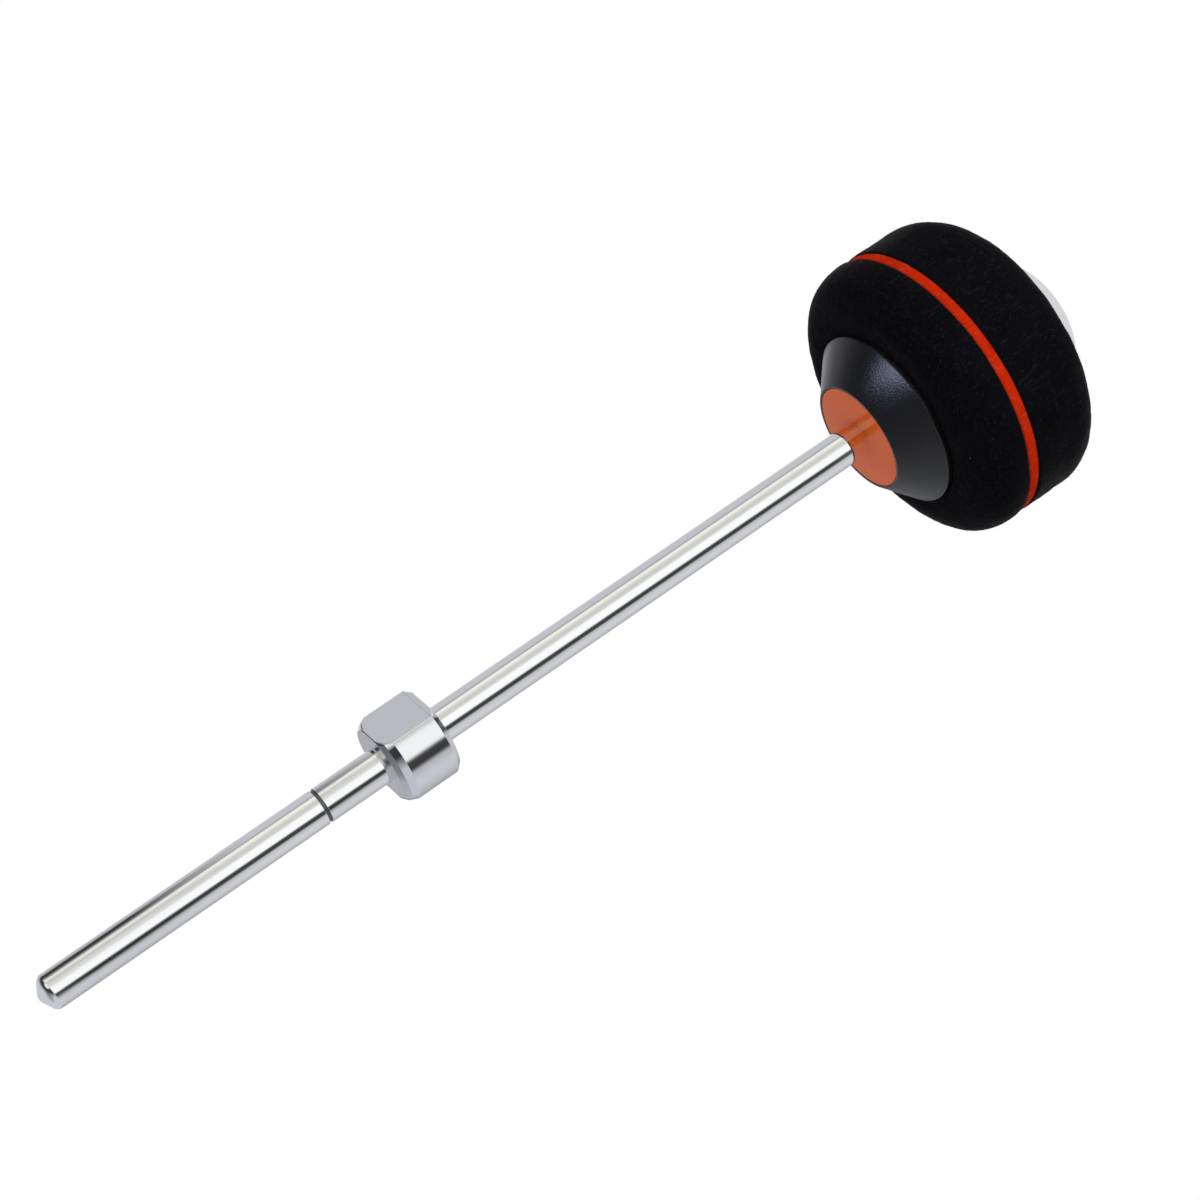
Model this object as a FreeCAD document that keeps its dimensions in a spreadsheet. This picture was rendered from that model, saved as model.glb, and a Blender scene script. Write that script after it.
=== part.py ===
import FreeCAD, Part
import os

import Sketcher

# Bass drum beater: a chromed shaft with a sliding collar weight, and a layered felt head that
# a nut clamps between two cones. +Z runs up the shaft, with the origin at the end of its tip.
# All lengths are in millimetres.

doc = FreeCAD.newDocument("bass_drum_beater")
dim = doc.addObject("Spreadsheet::Sheet", "dim")

DRIVING_SIZES = [
    # Shaft, from the tip up
    ("shaft_radius", 4.0, "plain round shaft"),
    ("tip_cone_height", 1.85, "blunt cone at the tip"),
    ("tip_flat_radius", 0.6, "small flat at the end of the cone"),
    ("tip_edge_round", 1.9, "rounding where the cone meets the shaft"),
    ("groove_height", 66.6, "lower edge of the ring groove above the tip"),
    ("groove_width", 0.8, "ring groove along the shaft"),
    ("groove_depth", 0.3, "ring groove into the shaft"),
    ("head_face_height", 209.7, "lower face of the head above the tip"),
    ("spigot_radius", 3.0, "threaded upper end of the shaft"),
    ("spigot_chamfer", 0.6, "lead-in at the top of the thread"),
    ("spigot_proud", 1.0, "thread showing above the nut"),
    # Collar weight
    ("collar_height", 82.1, "lower face of the collar above the tip"),
    ("collar_length", 13.4, "collar along the shaft"),
    ("collar_radius", 10.0, "round sides of the collar"),
    ("collar_flat_distance", 8.0, "shaft axis to each flat"),
    ("collar_chamfer", 1.65, "chamfer at the collar's ends"),
    ("collar_bore_chamfer", 0.5, "chamfer at the mouths of the bore"),
    # Clamp screw and pad
    ("screw_radius", 4.0, "clamp screw over its thread"),
    ("screw_length", 4.0, "clamp screw"),
    ("screw_chamfer", 0.5, "chamfer at the screw's ends"),
    ("socket_width", 4.0, "hexagon socket across its flats"),
    ("socket_depth", 2.2, "hexagon socket"),
    ("pad_radius", 3.3, "pad between screw and shaft"),
    ("pad_thickness", 1.4, "pad between screw and shaft"),
    ("pad_chamfer", 0.3, "chamfer at the pad's edges"),
    ("thread_relief", 0.3, "tapped wall that runs on past the screw's point"),
    # Hubs and inlay
    ("inlay_radius", 12.3, "disc let into the lower hub"),
    ("inlay_thickness", 1.2, "disc let into the lower hub"),
    ("hub_lip", 0.55, "rim of the hub around the inlay"),
    ("hub_rim_radius", 20.8, "wide end of each hub"),
    ("hub_cone_height", 7.4, "sloping part of each hub"),
    ("hub_rim_height", 1.4, "straight edge of each hub beside the felt"),
    ("hub_rim_chamfer", 0.5, "chamfer of the hub's wide end"),
    ("recess_radius", 8.0, "recess for the nut in the upper hub"),
    ("recess_depth", 6.5, "recess for the nut in the upper hub"),
    # Felt rings and the sleeve inside them
    ("felt_radius", 33.3, "outside of the felts beside the stripe"),
    ("lower_felt_thickness", 10.5, "felt between lower hub and stripe"),
    ("lower_felt_round", 9.2, "rounded edge beside the lower hub"),
    ("stripe_thickness", 2.4, "felt stripe"),
    ("stripe_inset", 0.3, "step from the felts in to the stripe"),
    ("upper_felt_thickness", 21.0, "felt between stripe and upper hub"),
    ("upper_felt_round", 10.0, "rounded edge beside the upper hub"),
    ("stripe_edge_chamfer", 0.8, "broken felt edges beside the stripe"),
    ("sleeve_radius", 7.5, "spacer tube inside the felt"),
    # Nut and washers
    ("washer_radius", 6.0, "flat washer"),
    ("washer_thickness", 1.6, "flat washer"),
    ("lock_washer_radius", 5.7, "split spring washer"),
    ("lock_washer_thickness", 1.6, "split spring washer"),
    ("lock_washer_split", 0.8, "slot in the spring washer"),
    ("nut_width", 10.0, "nut across its flats"),
    ("nut_height", 3.2, "thin nut"),
    # Fits
    ("running_clearance", 0.05, "radial play of sliding and turning pieces"),
    ("seat_clearance", 0.1, "radial play of pieces that are only stacked"),
    ("overrun", 2.0, "how far a cut runs past what it cuts"),
]

# Shares of the sizes that they follow
FELT_ROUND_SHARE = 0.88
NUT_CHAMFER_START_SHARE = 0.95
NUT_CHAMFER_SLOPE_SHARE = 0.577

FULL_TURN = 360
FLAT_COUNT = 2
HEXAGON_SIDES = 6
THROUGH_ALL = 1
SAME_PLACE_SHARE = 1e-6

for row, (alias, size, meaning) in enumerate(DRIVING_SIZES, start=1):
    dim.set(f"A{row}", alias)
    dim.set(f"B{row}", str(size))
    dim.set(f"C{row}", meaning)
    dim.setAlias(f"B{row}", alias)
doc.recompute()

# Places up the shaft, worked out from the driving sizes
SHOULDER = "dim.head_face_height + dim.inlay_thickness"
HUB_FACE_RADIUS = "dim.inlay_radius + dim.seat_clearance + dim.hub_lip"
LOWER_RIM = "dim.head_face_height + dim.hub_cone_height"
FELT_BOTTOM = f"{LOWER_RIM} + dim.hub_rim_height"
STRIPE_BOTTOM = f"{FELT_BOTTOM} + dim.lower_felt_thickness"
STRIPE_TOP = f"{STRIPE_BOTTOM} + dim.stripe_thickness"
FELT_TOP = f"{STRIPE_TOP} + dim.upper_felt_thickness"
UPPER_RIM = f"{FELT_TOP} + dim.hub_rim_height"
HEAD_TOP = f"{UPPER_RIM} + dim.hub_cone_height"
RECESS_FLOOR = f"{HEAD_TOP} - dim.recess_depth"
LOCK_WASHER_BOTTOM = f"{RECESS_FLOOR} + dim.washer_thickness"
NUT_BOTTOM = f"{LOCK_WASHER_BOTTOM} + dim.lock_washer_thickness"
SHAFT_TOP = f"{NUT_BOTTOM} + dim.nut_height + dim.spigot_proud"

# Radii and places of the fits
SHAFT_BORE = "dim.shaft_radius + dim.running_clearance"
SPIGOT_BORE = "dim.spigot_radius + dim.running_clearance"
FELT_BORE = "dim.sleeve_radius + dim.seat_clearance"
STRIPE_RADIUS = "dim.felt_radius - dim.stripe_inset"
SCREW_MIDDLE = "dim.collar_height + dim.collar_length / 2"
SCREW_POINT = f"{SHAFT_BORE} + dim.pad_thickness + dim.running_clearance"


def value(expression):
    """The number that an expression over the sheet gives."""
    return float(dim.evalExpression(expression))


def new_body(label):
    body = doc.addObject("PartDesign::Body", label)
    body.Label = label
    return body


def origin_feature(body, role):
    return next(item for item in body.Origin.OriginFeatures if item.Role == role)


def new_sketch(body, name, plane, offset="0"):
    """Sketch on one of the body's own planes, moved along the plane's normal by the offset."""
    sketch = body.newObject("Sketcher::SketchObject", name)
    sketch.AttachmentSupport = [(origin_feature(body, plane), "")]
    sketch.MapMode = "FlatFace"
    sketch.setExpression("AttachmentOffset.Base.z", offset)
    return sketch


def bind(sketch, constraint, expression):
    index = sketch.addConstraint(constraint)
    sketch.setExpression(f"Constraints[{index}]", expression)


def place_corner(sketch, line, across, up):
    """Ties the start of a line to its two expressions, or to an axis where one is zero."""
    for kind, axis, expression in (("DistanceX", -2, across), ("DistanceY", -1, up)):
        if expression == "0":
            sketch.addConstraint(Sketcher.Constraint("PointOnObject", line, 1, axis))
        else:
            bind(sketch, Sketcher.Constraint(kind, -1, 1, line, 1, value(expression)), expression)


def outline(sketch, corners):
    """Closed outline through corners given as pairs of expressions."""
    points = [FreeCAD.Vector(value(across), value(up), 0) for across, up in corners]
    for side, start in enumerate(points):
        end = points[(side + 1) % len(points)]
        sketch.addGeometry(Part.LineSegment(start, end))
    for side in range(len(points)):
        following = (side + 1) % len(points)
        sketch.addConstraint(Sketcher.Constraint("Coincident", side, 2, following, 1))
    for side, (across, up) in enumerate(corners):
        place_corner(sketch, side, across, up)


def circle(sketch, radius, up="0"):
    """Circle on the sketch's vertical axis."""
    centre = FreeCAD.Vector(0, value(up), 0)
    sketch.addGeometry(Part.Circle(centre, FreeCAD.Vector(0, 0, 1), value(radius)))
    bind(sketch, Sketcher.Constraint("Radius", 0, value(radius)), radius)
    if up == "0":
        sketch.addConstraint(Sketcher.Constraint("Coincident", 0, 3, -1, 1))
    else:
        sketch.addConstraint(Sketcher.Constraint("PointOnObject", 0, 3, -2))
        bind(sketch, Sketcher.Constraint("DistanceY", -1, 1, 0, 3, value(up)), up)


def hexagon(sketch, width):
    """Regular hexagon about the sketch's origin, given across its flats."""
    corner_radius = f"{width} / sqrt(3)"
    reach = FreeCAD.Vector(0, value(corner_radius), 0)
    turn = FreeCAD.Rotation(FreeCAD.Vector(0, 0, 1), FULL_TURN / HEXAGON_SIDES)
    guide = HEXAGON_SIDES
    for side in range(HEXAGON_SIDES):
        start, reach = reach, turn.multVec(reach)
        sketch.addGeometry(Part.LineSegment(start, reach))
    sketch.addGeometry(Part.Circle(FreeCAD.Vector(), FreeCAD.Vector(0, 0, 1), value(corner_radius)), True)
    sketch.addConstraint(Sketcher.Constraint("Coincident", guide, 3, -1, 1))
    for side in range(HEXAGON_SIDES):
        following = (side + 1) % HEXAGON_SIDES
        sketch.addConstraint(Sketcher.Constraint("Coincident", side, 2, following, 1))
        sketch.addConstraint(Sketcher.Constraint("PointOnObject", side, 1, guide))
        if following:
            sketch.addConstraint(Sketcher.Constraint("Equal", side, following))
    sketch.addConstraint(Sketcher.Constraint("PointOnObject", 0, 1, -2))
    bind(sketch, Sketcher.Constraint("Radius", guide, value(corner_radius)), corner_radius)


def turned(body, corners):
    """Solid of revolution about the body's Z axis."""
    sketch = new_sketch(body, f"{body.Label}_profile", "XZ_Plane")
    outline(sketch, corners)
    feature = body.newObject("PartDesign::Revolution", f"{body.Label}_turned")
    feature.Profile = sketch
    feature.ReferenceAxis = (sketch, ["V_Axis"])
    feature.Angle = FULL_TURN
    doc.recompute()
    return feature


def check_cut(body, volume_before):
    """A cut that points away from the solid shows no error, so its volume is compared."""
    doc.recompute()
    if body.Shape.Volume >= volume_before:
        raise RuntimeError(f"{body.Tip.Label} removed nothing from {body.Label}")


def pocket(body, sketch, name, reverse, depth=None):
    """Cut of a given depth, or right through where no depth is given."""
    volume_before = body.Shape.Volume
    feature = body.newObject("PartDesign::Pocket", name)
    feature.Profile = sketch
    feature.Reversed = reverse
    if depth is None:
        feature.Type = THROUGH_ALL
    else:
        feature.setExpression("Length", depth)
    check_cut(body, volume_before)
    return feature


def turned_groove(body, name, corners):
    """Cut of revolution about the body's Z axis."""
    volume_before = body.Shape.Volume
    sketch = new_sketch(body, f"{name}_profile", "XZ_Plane")
    outline(sketch, corners)
    feature = body.newObject("PartDesign::Groove", name)
    feature.Profile = sketch
    feature.ReferenceAxis = (sketch, ["V_Axis"])
    feature.Angle = FULL_TURN
    check_cut(body, volume_before)
    return feature


def ring_edges(shape, rings):
    """Names of the full circles about Z that have the given radii and heights."""
    wanted = [FreeCAD.Vector(value(radius), 0, value(height)) for radius, height in rings]
    names = []
    for number, edge in enumerate(shape.Edges, start=1):
        if isinstance(edge.Curve, Part.Circle):
            ring = FreeCAD.Vector(edge.Curve.Radius, 0, edge.Curve.Center.z)
            if any(ring.distanceToPoint(place) < SAME_PLACE_SHARE * place.Length for place in wanted):
                names.append(f"Edge{number}")
    if len(names) != len(rings):
        raise RuntimeError(f"{len(names)} edges found for {len(rings)} rings")
    return names


def edge_feature(body, kind, name, size, rings):
    """Fillet or Chamfer on the named rings of the body's last feature."""
    base = body.Tip
    names = ring_edges(base.Shape, rings)
    feature = body.newObject(f"PartDesign::{kind}", name)
    feature.Base = (base, names)
    feature.setExpression("Radius" if kind == "Fillet" else "Size", size)
    doc.recompute()
    return feature


def cross_bar(body, radius, length, chamfer):
    """Round bar along -X from the local origin, chamfered at both ends."""
    section = new_sketch(body, f"{body.Label}_section", "YZ_Plane")
    circle(section, radius)
    bar = body.newObject("PartDesign::Pad", f"{body.Label}_bar")
    bar.Profile = section
    bar.Reversed = True
    bar.setExpression("Length", length)
    doc.recompute()
    ends = body.newObject("PartDesign::Chamfer", f"{body.Label}_ends")
    end_names = [
        f"Edge{number}"
        for number, edge in enumerate(bar.Shape.Edges, start=1)
        if isinstance(edge.Curve, Part.Circle)
    ]
    ends.Base = (bar, end_names)
    ends.setExpression("Size", chamfer)
    doc.recompute()


def make_shaft():
    body = new_body("shaft")
    turned(body, [
        ("0", "0"),
        ("dim.tip_flat_radius", "0"),
        ("dim.shaft_radius", "dim.tip_cone_height"),
        ("dim.shaft_radius", SHOULDER),
        ("dim.spigot_radius", SHOULDER),
        ("dim.spigot_radius", SHAFT_TOP),
        ("0", SHAFT_TOP),
    ])
    cone_edge = ("dim.shaft_radius", "dim.tip_cone_height")
    edge_feature(body, "Fillet", "tip_edge", "dim.tip_edge_round", [cone_edge])
    thread_edge = ("dim.spigot_radius", SHAFT_TOP)
    edge_feature(body, "Chamfer", "thread_lead_in", "dim.spigot_chamfer", [thread_edge])
    floor_radius = "dim.shaft_radius - dim.groove_depth"
    past_radius = "dim.shaft_radius + dim.overrun"
    groove_top = "dim.groove_height + dim.groove_width"
    turned_groove(body, "ring_groove", [
        (floor_radius, "dim.groove_height"),
        (past_radius, "dim.groove_height"),
        (past_radius, groove_top),
        (floor_radius, groove_top),
    ])
    return body


def make_collar_weight():
    body = new_body("collar_weight")
    chamfer_radius = "dim.collar_radius - dim.collar_chamfer"
    upper_chamfer = "dim.collar_length - dim.collar_chamfer"
    mouth_radius = f"{SHAFT_BORE} + dim.collar_bore_chamfer"
    turned(body, [
        (mouth_radius, "0"),
        (chamfer_radius, "0"),
        ("dim.collar_radius", "dim.collar_chamfer"),
        ("dim.collar_radius", upper_chamfer),
        (chamfer_radius, "dim.collar_length"),
        (mouth_radius, "dim.collar_length"),
        (SHAFT_BORE, "dim.collar_length - dim.collar_bore_chamfer"),
        (SHAFT_BORE, "dim.collar_bore_chamfer"),
    ])
    flat_sketch = new_sketch(body, "flat_outline", "XY_Plane")
    past_side = "dim.collar_radius + dim.overrun"
    outline(flat_sketch, [
        (f"-({past_side})", "dim.collar_flat_distance"),
        (past_side, "dim.collar_flat_distance"),
        (past_side, past_side),
        (f"-({past_side})", past_side),
    ])
    flat = pocket(body, flat_sketch, "flat", reverse=True)
    flats = body.newObject("PartDesign::PolarPattern", "flats")
    flats.Originals = [flat]
    flats.Axis = (origin_feature(body, "Z_Axis"), [""])
    flats.Angle = FULL_TURN
    flats.Occurrences = FLAT_COUNT
    body.Tip = flats
    doc.recompute()
    middle = "dim.collar_length / 2"
    drill_sketch = new_sketch(body, "tap_drill", "YZ_Plane")
    circle(drill_sketch, "dim.pad_radius + dim.running_clearance", middle)
    pocket(body, drill_sketch, "pad_hole", reverse=False)
    tap_sketch = new_sketch(body, "tapped_wall", "YZ_Plane", f"dim.thread_relief - ({SCREW_POINT})")
    circle(tap_sketch, "dim.screw_radius + dim.running_clearance", middle)
    pocket(body, tap_sketch, "tapped_hole", reverse=False)
    body.setExpression("Placement.Base.z", "dim.collar_height")
    return body


def make_clamp_screw():
    body = new_body("clamp_screw")
    cross_bar(body, "dim.screw_radius", "dim.screw_length", "dim.screw_chamfer")
    socket_sketch = new_sketch(body, "socket_outline", "YZ_Plane", "-dim.screw_length")
    hexagon(socket_sketch, "dim.socket_width")
    pocket(body, socket_sketch, "socket", reverse=True, depth="dim.socket_depth")
    body.setExpression("Placement.Base.x", f"-({SCREW_POINT})")
    body.setExpression("Placement.Base.z", SCREW_MIDDLE)
    return body


def make_clamp_pad():
    body = new_body("clamp_pad")
    cross_bar(body, "dim.pad_radius", "dim.pad_thickness", "dim.pad_chamfer")
    body.setExpression("Placement.Base.x", f"-({SHAFT_BORE})")
    body.setExpression("Placement.Base.z", SCREW_MIDDLE)
    return body


def make_hub_inlay():
    body = new_body("hub_inlay")
    turned(body, [
        (SHAFT_BORE, "dim.head_face_height"),
        ("dim.inlay_radius", "dim.head_face_height"),
        ("dim.inlay_radius", SHOULDER),
        (SHAFT_BORE, SHOULDER),
    ])
    return body


def make_lower_hub():
    body = new_body("lower_hub")
    recess_radius = "dim.inlay_radius + dim.seat_clearance"
    turned(body, [
        (SPIGOT_BORE, SHOULDER),
        (recess_radius, SHOULDER),
        (recess_radius, "dim.head_face_height"),
        (HUB_FACE_RADIUS, "dim.head_face_height"),
        ("dim.hub_rim_radius", LOWER_RIM),
        ("dim.hub_rim_radius", FELT_BOTTOM),
        (SPIGOT_BORE, FELT_BOTTOM),
    ])
    rim_edge = ("dim.hub_rim_radius", LOWER_RIM)
    edge_feature(body, "Chamfer", "lower_hub_rim", "dim.hub_rim_chamfer", [rim_edge])
    return body


def make_upper_hub():
    body = new_body("upper_hub")
    turned(body, [
        (SPIGOT_BORE, FELT_TOP),
        ("dim.hub_rim_radius", FELT_TOP),
        ("dim.hub_rim_radius", UPPER_RIM),
        (HUB_FACE_RADIUS, HEAD_TOP),
        ("dim.recess_radius", HEAD_TOP),
        ("dim.recess_radius", RECESS_FLOOR),
        (SPIGOT_BORE, RECESS_FLOOR),
    ])
    rim_edge = ("dim.hub_rim_radius", UPPER_RIM)
    edge_feature(body, "Chamfer", "upper_hub_rim", "dim.hub_rim_chamfer", [rim_edge])
    return body


def make_felt(label, bottom, top, radius):
    """Plain felt ring on the sleeve."""
    body = new_body(label)
    turned(body, [(FELT_BORE, bottom), (radius, bottom), (radius, top), (FELT_BORE, top)])
    return body


def shape_felt(body, thickness, round_size, hub_side, stripe_side):
    """Rounds a felt ring beside its hub, and breaks its edge beside the stripe."""
    limited_round = f"min({round_size}; {thickness} * {FELT_ROUND_SHARE})"
    hub_edge = ("dim.felt_radius", hub_side)
    edge_feature(body, "Fillet", f"{body.Label}_hub_edge", limited_round, [hub_edge])
    stripe_edge = ("dim.felt_radius", stripe_side)
    edge_feature(body, "Chamfer", f"{body.Label}_stripe_edge", "dim.stripe_edge_chamfer", [stripe_edge])


def make_felts():
    lower = make_felt("lower_felt", FELT_BOTTOM, STRIPE_BOTTOM, "dim.felt_radius")
    shape_felt(lower, "dim.lower_felt_thickness", "dim.lower_felt_round", FELT_BOTTOM, STRIPE_BOTTOM)
    stripe = make_felt("stripe_felt", STRIPE_BOTTOM, STRIPE_TOP, STRIPE_RADIUS)
    upper = make_felt("upper_felt", STRIPE_TOP, FELT_TOP, "dim.felt_radius")
    shape_felt(upper, "dim.upper_felt_thickness", "dim.upper_felt_round", FELT_TOP, STRIPE_TOP)
    return [lower, stripe, upper]


def make_tube(label, bore, radius, bottom, length):
    """Plain ring or tube about the shaft."""
    outside = doc.addObject("Part::Cylinder", f"{label}_outside")
    outside.setExpression("Radius", radius)
    outside.setExpression("Height", length)
    inside = doc.addObject("Part::Cylinder", f"{label}_inside")
    inside.setExpression("Radius", bore)
    inside.setExpression("Height", f"{length} + 2 * dim.overrun")
    inside.setExpression("Placement.Base.z", "-dim.overrun")
    tube = doc.addObject("Part::Cut", label)
    tube.Label = label
    tube.Base = outside
    tube.Tool = inside
    tube.setExpression("Placement.Base.z", bottom)
    return tube


def make_lock_washer():
    body = new_body("lock_washer")
    top = "dim.lock_washer_thickness"
    turned(body, [
        (SPIGOT_BORE, "0"),
        ("dim.lock_washer_radius", "0"),
        ("dim.lock_washer_radius", top),
        (SPIGOT_BORE, top),
    ])
    split = new_sketch(body, "split_outline", "XY_Plane")
    half_split = "dim.lock_washer_split / 2"
    past_radius = "dim.lock_washer_radius + dim.overrun"
    outline(split, [
        ("0", f"-{half_split}"),
        (past_radius, f"-{half_split}"),
        (past_radius, half_split),
        ("0", half_split),
    ])
    pocket(body, split, "split", reverse=True)
    body.setExpression("Placement.Base.z", LOCK_WASHER_BOTTOM)
    return body


def make_lock_nut():
    body = new_body("lock_nut")
    section = new_sketch(body, "nut_section", "XY_Plane")
    hexagon(section, "dim.nut_width")
    block = body.newObject("PartDesign::Pad", "nut_block")
    block.Profile = section
    block.setExpression("Length", "dim.nut_height")
    doc.recompute()
    bore_sketch = new_sketch(body, "nut_bore_section", "XY_Plane")
    circle(bore_sketch, SPIGOT_BORE)
    pocket(body, bore_sketch, "nut_bore", reverse=True)
    start = f"dim.nut_width / 2 * {NUT_CHAMFER_START_SHARE}"
    past_corner = "dim.nut_width / sqrt(3) + dim.overrun"
    drop = f"({past_corner} - {start}) * {NUT_CHAMFER_SLOPE_SHARE}"
    turned_groove(body, "nut_chamfer", [
        (start, "dim.nut_height"),
        (past_corner, f"dim.nut_height - {drop}"),
        (past_corner, "dim.nut_height"),
    ])
    body.setExpression("Placement.Base.z", NUT_BOTTOM)
    return body


def write_parts(parts):
    """Checks the whole document, then writes one file for each piece."""
    doc.recompute()
    failed = [item.Label for item in doc.Objects if {"Invalid", "Error"} & set(item.State)]
    if failed:
        raise RuntimeError(f"failed objects: {failed}")
    for part in parts:
        if part.Shape.isNull() or not part.Shape.isValid():
            raise RuntimeError(f"bad shape: {part.Label}")
    os.makedirs("parts", exist_ok=True)
    for part in parts:
        part.Shape.exportStep(f"parts/{part.Label}.step")


write_parts([
    make_shaft(),
    make_collar_weight(),
    make_clamp_screw(),
    make_clamp_pad(),
    make_hub_inlay(),
    make_lower_hub(),
    make_upper_hub(),
    *make_felts(),
    make_tube(
        "core_sleeve", SPIGOT_BORE, "dim.sleeve_radius", FELT_BOTTOM,
        f"{FELT_TOP} - ({FELT_BOTTOM})",
    ),
    make_tube("flat_washer", SPIGOT_BORE, "dim.washer_radius", RECESS_FLOOR, "dim.washer_thickness"),
    make_lock_washer(),
    make_lock_nut(),
])
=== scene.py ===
"""Bass drum beater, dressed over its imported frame.

The frame gives every place and main size. Each operator makes one piece, or one group of like
pieces, and the settings hold what a user would change. All lengths are in metres.
"""

import math

import bmesh
import bpy
from bpy.props import FloatProperty, FloatVectorProperty, IntProperty, PointerProperty
from bpy.types import Operator, Panel, PropertyGroup
from mathutils import Matrix, Vector, noise


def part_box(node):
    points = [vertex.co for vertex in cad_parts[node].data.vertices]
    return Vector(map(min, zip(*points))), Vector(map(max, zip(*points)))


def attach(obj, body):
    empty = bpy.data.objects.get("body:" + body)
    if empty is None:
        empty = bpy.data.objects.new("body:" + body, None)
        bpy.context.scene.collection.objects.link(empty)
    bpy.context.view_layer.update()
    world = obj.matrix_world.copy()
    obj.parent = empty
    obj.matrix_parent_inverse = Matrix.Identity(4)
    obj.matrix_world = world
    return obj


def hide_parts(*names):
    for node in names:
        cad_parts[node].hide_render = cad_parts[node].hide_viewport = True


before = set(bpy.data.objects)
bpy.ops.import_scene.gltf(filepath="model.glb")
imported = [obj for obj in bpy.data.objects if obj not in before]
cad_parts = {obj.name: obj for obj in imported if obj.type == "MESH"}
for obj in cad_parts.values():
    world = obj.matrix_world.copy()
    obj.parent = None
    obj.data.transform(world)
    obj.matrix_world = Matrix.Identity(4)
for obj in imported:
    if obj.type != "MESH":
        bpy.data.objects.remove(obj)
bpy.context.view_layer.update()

bl_info = {
    "name": "Bass Drum Beater",
    "version": (1, 0, 0),
    "blender": (4, 5, 0),
    "location": "View3D > Sidebar > Beater",
    "description": "Chromed shaft, sliding collar weight and layered felt head",
    "category": "Object",
}

HEAD_BODY = "shaft_and_head"
COLLAR_BODY = "collar"
SCREW_BODY = "screw"

FULL_TURN = math.tau
MM = 0.001


# Settings

def length(name, description, default):
    """A size in metres."""
    return FloatProperty(
        name=name, description=description, default=default, min=0, precision=5, unit="LENGTH"
    )


def count(name, description, default):
    """A whole number of pieces or steps."""
    return IntProperty(name=name, description=description, default=default, min=1)


def level(name, description, default):
    """A plain number from 0 up."""
    return FloatProperty(name=name, description=description, default=default, min=0)


def linear(channel):
    """A colour channel of 0 to 255 as the linear value that shaders take."""
    share = channel / 255
    return share / 12.92 if share <= 0.04045 else ((share + 0.055) / 1.055) ** 2.4


def colour(name, description, red, green, blue):
    """A colour given as it looks on screen, 0 to 255 a channel."""
    return FloatVectorProperty(
        name=name, description=description, subtype="COLOR", size=4, min=0, max=1,
        default=(linear(red), linear(green), linear(blue), 1),
    )


class ShaftSettings(PropertyGroup):
    """Turned details of the shaft."""

    tip_height: length("Tip height", "Height of the blunt cone at the tip", 1.85 * MM)
    tip_flat: length("Tip flat", "Radius of the flat at the end of the cone", 0.6 * MM)
    tip_round: length("Tip rounding", "Rounding of the cone's two edges", 1.9 * MM)
    groove_height: length("Groove height", "Lower edge of the ring groove", 66.6 * MM)
    groove_width: length("Groove width", "Width of the ring groove", 0.8 * MM)
    groove_depth: length("Groove depth", "Depth of the ring groove", 0.3 * MM)
    edge_round: length("Edge rounding", "Broken edges of the groove and shoulder", 0.06 * MM)
    thread_radius: length("Thread radius", "Crest of the thread at the top", 3.0 * MM)
    thread_pitch: length("Thread pitch", "Rise of the thread in one turn", 1.0 * MM)
    thread_depth: length("Thread depth", "Crest to root of the thread", 0.5 * MM)
    lead_in: length("Lead-in", "Chamfer at the top of the thread", 0.6 * MM)
    segments: count("Segments", "Steps round the shaft", 128)


class CollarSettings(PropertyGroup):
    """Details of the sliding collar weight and what clamps it."""

    lower_chamfer: length("Lower chamfer", "Chamfer at the collar's lower end", 1.65 * MM)
    slope_depth: length("Slope depth", "Depth of the slope above the lower chamfer", 0.67 * MM)
    slope_height: length("Slope height", "Height of the slope", 1.55 * MM)
    upper_chamfer: length("Upper chamfer", "Chamfer at the collar's upper end", 1.2 * MM)
    turned_round: length("Turned edge rounding", "Rounding of the chamfers' edges", 0.15 * MM)
    bore_gap: length("Bore gap", "Play between bore and shaft", 0.05 * MM)
    bore_chamfer: length("Bore chamfer", "Chamfer at the mouths of the bore", 0.5 * MM)
    edge_round: length("Edge rounding", "Width of the flats' broken edges", 0.24 * MM)
    screw_pitch: length("Screw pitch", "Rise of the clamp screw's thread in one turn", 1.25 * MM)
    screw_depth: length("Screw thread depth", "Crest to root of the screw's thread", 0.6 * MM)
    screw_chamfer: length("Screw chamfer", "Chamfer at the screw's ends", 0.5 * MM)
    socket_width: length("Socket width", "Hexagon socket across its flats", 4.0 * MM)
    socket_depth: length("Socket depth", "Depth of the hexagon socket", 2.2 * MM)
    segments: count("Segments", "Steps round the collar", 128)


class HubSettings(PropertyGroup):
    """Details of the two cones, the inlay and the nut."""

    lip: length("Lip", "Rim of the lower cone around the inlay", 0.55 * MM)
    seat_gap: length("Seat gap", "Play round the inlay", 0.1 * MM)
    rim_height: length("Rim height", "Straight edge of a cone beside the felt", 1.4 * MM)
    rim_round: length("Rim rounding", "Rounding of a cone's wide end", 0.5 * MM)
    edge_round: length("Edge rounding", "Rounding of the small edges", 0.15 * MM)
    recess_radius: length("Recess radius", "Recess for the nut", 8.0 * MM)
    nut_chamfer: length("Nut chamfer", "Chamfer of the nut's corners", 0.45 * MM)
    segments: count("Segments", "Steps round a cone", 160)


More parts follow.
